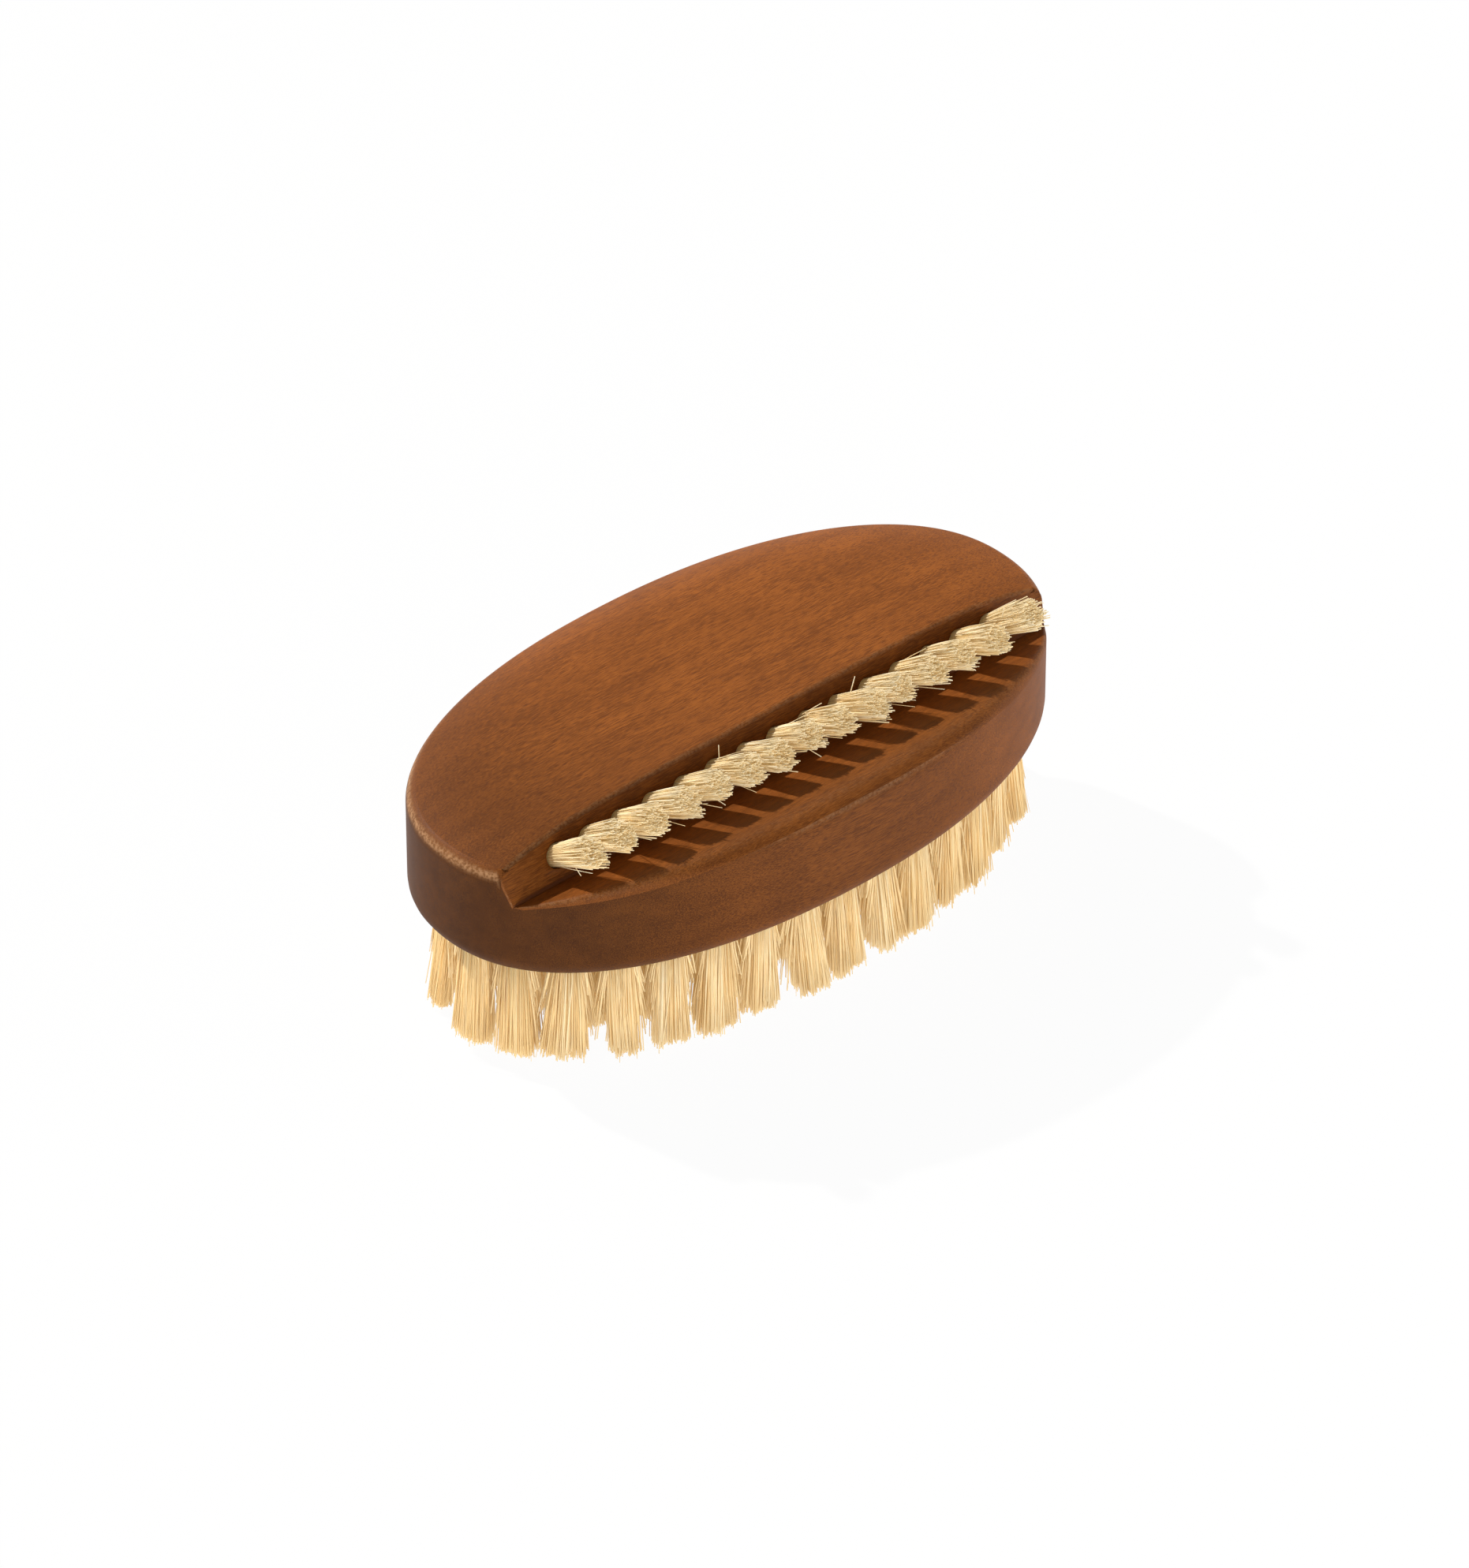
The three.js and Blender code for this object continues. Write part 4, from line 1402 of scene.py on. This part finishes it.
class NAILBRUSH_OT_nail_row(bpy.types.Operator):
    """Make the row of short tufts that stand out of the groove's wall"""

    bl_idname = "nail_brush.nail_row"
    bl_label = "Nail Row"

    def execute(self, context):
        scene = context.scene
        row = scene.nail_brush_nail_row
        form = BlockForm(scene.nail_brush_block)
        random = np.random.default_rng(NAIL_SEED)
        frame_row = self.tuft_row(random, form, row)
        tufts = len(frame_row.mouths)
        disc, clump, pull = tuft_discs(random, tufts, row.strands)
        lower = np.clip(-disc[..., 1], 0.0, 1.0) ** 2 * random.random(clump.shape)
        shares = NAIL_LONGEST - NAIL_UNEVEN * random.random(clump.shape) ** NAIL_POWER
        lengths = row.bristle_length * shares + NAIL_DROOP * lower - NAIL_SLANT * disc[..., 1]
        lean = np.zeros((tufts, 2))
        lean[-1] = LAST_LEAN
        flare = np.array([row.flare, row.flare_up]) * (1 + random.normal(0, NAIL_FLARE_SPREAD, (tufts, 1, 1)))
        reach = row.hole_diameter / 2 - NAIL_CLEARANCE
        paths, wild = tuft_paths(random, frame_row, NAIL_HABIT, disc, pull, lengths, reach, flare, lean)
        cores = core_paths(random, frame_row, NAIL_HABIT, row.bristle_length, reach, flare, lean)
        strays, stray_tufts = stray_paths(frame_row, NAIL_STRAYS)
        tint = NAIL_PALE + (1 - NAIL_PALE) * strand_tints(random, clump)
        core_tint = np.full(len(cores), NAIL_HABIT.core_tint)
        add_strands(
            "nail_row_bristles",
            "nail_row_tufts",
            random,
            frame_row,
            row.strand_radius,
            NAIL_HABIT,
            bristle_material(scene.nail_brush_finish),
            (paths, per_tuft(tufts, row.strands), tint, np.where(wild, WILD_THICKNESS, 1.0)),
            (cores, per_tuft(tufts, CORE_STRANDS), core_tint, CORE_THICKNESS),
            (strays, stray_tufts, np.ones(len(strays)), 1.0),
        )
        return {"FINISHED"}

    def tuft_row(self, random, form, row):
        """The row's holes and directions: square to the wall, tipped up, and a little uneven."""
        places = nail_places(form, row)
        tufts = len(places)
        mouths = joined(places, form.corner_y, form.corner_z + BLOCK_LOW.z) + row.hole_rise * form.up_wall
        sway = random.normal(0, NAIL_SWAY, (tufts, 1))
        start, end = (share * tufts for share in LIFT_RANGE)
        lift = NAIL_LIFT * smooth_step(np.arange(tufts), start, end)[:, None]
        nod = form.tilt + row.tip_up + lift + random.normal(0.0, NAIL_SWAY, (tufts, 1))
        across = unit(joined(np.ones((tufts, 1)), sway, np.zeros((tufts, 1))))[:, 0]
        out = unit(joined(-sway, -np.cos(nod), np.sin(nod)))[:, 0]
        return TuftRow(mouths, across, np.cross(out, across), out)


class NAILBRUSH_OT_face(bpy.types.Operator):
    """Make the three rings of tufts under the block"""

    bl_idname = "nail_brush.face"
    bl_label = "Face Bristles"

    def execute(self, context):
        scene = context.scene
        face = scene.nail_brush_face
        form = BlockForm(scene.nail_brush_block)
        material = bristle_material(scene.nail_brush_finish)
        self.ring(form, face, material, "outer", 0, face.outer_tufts)
        self.ring(form, face, material, "middle", 1, face.middle_tufts)
        self.ring(form, face, material, "inner", 2, face.inner_tufts)
        return {"FINISHED"}

    def ring(self, form, face, material, name, place, tufts):
        """Makes one ring of tufts, at its place counted from the outer ring."""
        random = np.random.default_rng(FACE_SEED + place)
        x, y, way = ring_places(form, face.outer_inset + place * face.ring_spacing, tufts)
        row = TuftRow(
            joined(x, y, BLOCK_LOW.z),
            joined(-way[:, 1], way[:, 0], 0.0),
            joined(way[:, 0], way[:, 1], 0.0),
            joined(np.zeros(tufts), 0.0, -1.0),
        )
        disc, clump, pull = tuft_discs(random, tufts, face.strands)
        lengths = self.lengths(random, face, disc, clump)
        out = face.inner_lean / place if place else face.lean + face.end_lean * way[:, 0] ** 2
        along = random.normal(0, FACE_SWAY_ALONG, tufts)
        lean = joined(along, out + random.normal(0, FACE_SWAY_OUT, tufts))
        flare = np.array([face.flare_along, face.flare_out])
        flare = flare * (1 + random.normal(0, FACE_FLARE_SPREAD, (tufts, 1, 1)))
        reach = face.root_reach
        paths, wild = tuft_paths(random, row, FACE_HABIT, disc, pull, lengths, reach, flare, lean)
        cores = core_paths(random, row, FACE_HABIT, BLOCK_LOW.z, reach, flare, lean)
        loose = gap_paths(random, row, FACE_HABIT, BLOCK_LOW.z, reach)
        deeper = self.depths(random, x)
        tint = strand_tints(random, clump) - np.repeat(deeper, face.strands)
        core_tint = np.full(len(cores), FACE_HABIT.core_tint)
        add_strands(
            name + "_ring_bristles",
            name + "_ring_tufts",
            random,
            row,
            face.strand_radius,
            FACE_HABIT,
            material,
            (paths, per_tuft(tufts, face.strands), tint, np.where(wild, WILD_THICKNESS, 1.0)),
            (cores, per_tuft(tufts, CORE_STRANDS), core_tint, CORE_THICKNESS),
            (loose, per_tuft(tufts, GAP_STRANDS), np.full(len(loose), GAP_TINT), 1.0),
        )

    def lengths(self, random, face, disc, clump):
        """Lengths from the underside towards the floor, which the longest strand reaches: shorter by parts of
        the tip spread for each clump and strand, by a part for each tuft, and at the outer rim."""
        ragged = np.take_along_axis(random.random((len(clump), CLUMPS)), clump, axis=1)
        own = random.random(clump.shape) ** FACE_POWER
        short = face.tip_spread * (CLUMP_PART * ragged + OWN_PART * own)
        short = short + TUFT_SHORT * random.random((len(clump), 1))
        short = short + RIM_SHORT * np.clip(disc[..., 1], 0.0, 1.0)
        return BLOCK_LOW.z + short.min() - short

    def depths(self, random, x):
        """How much deeper the tint of each tuft is: more towards both ends, and a little uneven."""
        deeper = FACE_DEEPER + END_DEEPER * smooth_step(np.abs(x - PALEST_X), *END_RANGE)
        return deeper + random.normal(0, DEEPER_SPREAD, len(x))


class NAILBRUSH_OT_anchors(bpy.types.Operator):
    """Give the anchors in the holes their drawn steel"""

    bl_idname = "nail_brush.anchors"
    bl_label = "Anchors"

    def execute(self, context):
        material = steel_material(context.scene.nail_brush_finish)
        for name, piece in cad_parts.items():
            if "anchor" in name:
                piece.data.materials.clear()
                piece.data.materials.append(material)
        return {"FINISHED"}


class NAILBRUSH_OT_stage(bpy.types.Operator):
    """Make the floor, the lamps, the sky and the camera"""

    bl_idname = "nail_brush.stage"
    bl_label = "Stage"

    def execute(self, context):
        scene = context.scene
        stage = scene.nail_brush_stage
        scene.view_settings.view_transform = "Standard"
        self.floor(context, stage)
        self.sky(scene, stage)
        self.lamps(context, stage)
        self.camera(context, stage)
        return {"FINISHED"}

    def floor(self, context, stage):
        """A wide flat square, white where it is seen but for a faint shadow, that glows on the brush."""
        reach = np.array([-FLOOR_HALF, FLOOR_HALF])
        points = joined(*np.meshgrid(reach, reach), np.zeros((2, 2))).reshape(-1, 3)
        mesh = bpy.data.meshes.new("floor")
        mesh.from_pydata(points.tolist(), [], [(0, 1, 3, 2)])
        material = bpy.data.materials.new("pale_floor")
        material.use_nodes = True
        tree = material.node_tree
        tree.nodes.clear()
        bounce = stage.floor_bounce
        plain = node(tree, "ShaderNodeBsdfDiffuse", (0, 200), Color=(bounce, bounce, bounce, 1.0))
        pale = node(tree, "ShaderNodeBsdfDiffuse", (0, 0), Color=(0.95, 0.95, 0.95, 1.0))
        lit = node(tree, "ShaderNodeEmission", (0, 400), Strength=stage.floor_glow)
        table = node(tree, "ShaderNodeAddShader", (250, 250))
        link(tree, plain.outputs[0], table.inputs[0])
        link(tree, lit.outputs[0], table.inputs[1])
        glow = node(tree, "ShaderNodeEmission", (0, -200), Strength=1.0)
        seen = node(tree, "ShaderNodeMixShader", (250, -100), Fac=FLOOR_OWN_WHITE)
        link(tree, pale.outputs[0], seen.inputs[1])
        link(tree, glow.outputs[0], seen.inputs[2])
        both = node(tree, "ShaderNodeMixShader", (500, 0))
        link(tree, shown_white(tree, (-300, 400)), both.inputs[0])
        link(tree, table.outputs[0], both.inputs[1])
        link(tree, seen.outputs[0], both.inputs[2])
        output = node(tree, "ShaderNodeOutputMaterial", (750, 0))
        link(tree, both.outputs[0], output.inputs[0])
        mesh.materials.append(material)
        floor = bpy.data.objects.new("floor", mesh)
        context.collection.objects.link(floor)

    def sky(self, scene, stage):
        """An even sky that lights the object softly and is white where it is seen."""
        world = bpy.data.worlds.new("studio")
        world.use_nodes = True
        tree = world.node_tree
        seen = shown_white(tree, (-600, 0))
        strength = node(tree, "ShaderNodeMapRange", (-150, 0))
        link(tree, seen, strength.inputs["Value"])
        strength.inputs["To Min"].default_value = stage.sky_strength
        strength.inputs["To Max"].default_value = 1.0
        background = tree.nodes["Background"]
        background.inputs["Color"].default_value = (1.0, 1.0, 1.0, 1.0)
        link(tree, strength.outputs["Result"], background.inputs["Strength"])
        scene.world = world

    def lamps(self, context, stage):
        """A hard key from behind on the left, and two wide soft lamps low at the front and right."""
        key = bpy.data.lights.new("key", "SUN")
        key.energy = stage.key_strength
        key.angle = stage.key_angle
        key.color = KEY_COLOUR
        self.place_lamp(context, key, Vector(stage.key_way) * KEY_DISTANCE)
        for name, power, size, place in (
            ("right_box", stage.right_power, RIGHT_WIDTH, RIGHT_PLACE),
            ("front_box", stage.front_power, FRONT_WIDTH, FRONT_PLACE),
        ):
            box = bpy.data.lights.new(name, "AREA")
            box.shape = "DISK"
            box.size = size
            box.energy = power
            self.place_lamp(context, box, Vector(place))

    def place_lamp(self, context, lamp, place):
        """Puts a lamp at a place, turned towards the brush."""
        holder = bpy.data.objects.new(lamp.name, lamp)
        holder.location = place
        holder.rotation_euler = place.to_track_quat("Z", "Y").to_euler()
        context.collection.objects.link(holder)

    def camera(self, context, stage):
        """The camera at the picture's viewing angle, aimed at the middle of the block."""
        lens = bpy.data.cameras.new("camera")
        lens.lens = stage.focal_length
        lens.sensor_width = 36.0
        lens.shift_x, lens.shift_y = stage.shift
        lens.clip_start, lens.clip_end = 0.01, 100.0
        flat = math.cos(stage.elevation)
        back = Vector(
            (math.sin(stage.azimuth) * flat, -math.cos(stage.azimuth) * flat, math.sin(stage.elevation))
        )
        holder = bpy.data.objects.new("camera", lens)
        holder.location = back * stage.distance + Vector((0.0, 0.0, BLOCK_LOW.z + CAMERA_AIM))
        holder.rotation_euler = back.to_track_quat("Z", "Y").to_euler()
        context.collection.objects.link(holder)
        context.scene.camera = holder


class NAILBRUSH_PT_panel(bpy.types.Panel):
    """Lists the pieces of the brush and their sizes"""

    bl_idname = "NAILBRUSH_PT_panel"
    bl_label = "Nail Brush"
    bl_space_type = "VIEW_3D"
    bl_region_type = "UI"
    bl_category = "Nail Brush"

    def draw(self, context):
        for key, operator in STEPS:
            box = self.layout.box()
            box.operator(operator.bl_idname)
            settings = getattr(context.scene, key)
            for name in settings.bl_rna.properties.keys():
                if name not in {"rna_type", "name"}:
                    box.prop(settings, name)


GROUPS = {
    "nail_brush_block": BlockSizes,
    "nail_brush_nail_row": NailRowSizes,
    "nail_brush_face": FaceSizes,
    "nail_brush_finish": Finishes,
    "nail_brush_stage": StageSettings,
}
STEPS = (
    ("nail_brush_block", NAILBRUSH_OT_block),
    ("nail_brush_nail_row", NAILBRUSH_OT_nail_row),
    ("nail_brush_face", NAILBRUSH_OT_face),
    ("nail_brush_finish", NAILBRUSH_OT_anchors),
    ("nail_brush_stage", NAILBRUSH_OT_stage),
)
CLASSES = (*GROUPS.values(), *(operator for _, operator in STEPS), NAILBRUSH_PT_panel)


def register():
    """Adds the classes and their settings to Blender."""
    for item in CLASSES:
        bpy.utils.register_class(item)
    for key, group in GROUPS.items():
        setattr(bpy.types.Scene, key, bpy.props.PointerProperty(type=group))


def unregister():
    """Takes the settings and the classes out again."""
    for key in GROUPS:
        delattr(bpy.types.Scene, key)
    for item in reversed(CLASSES):
        bpy.utils.unregister_class(item)


def main():
    """Makes every piece in order."""
    register()
    bpy.ops.nail_brush.block()
    bpy.ops.nail_brush.nail_row()
    bpy.ops.nail_brush.face()
    bpy.ops.nail_brush.anchors()
    bpy.ops.nail_brush.stage()


if __name__ == "__main__":
    main()
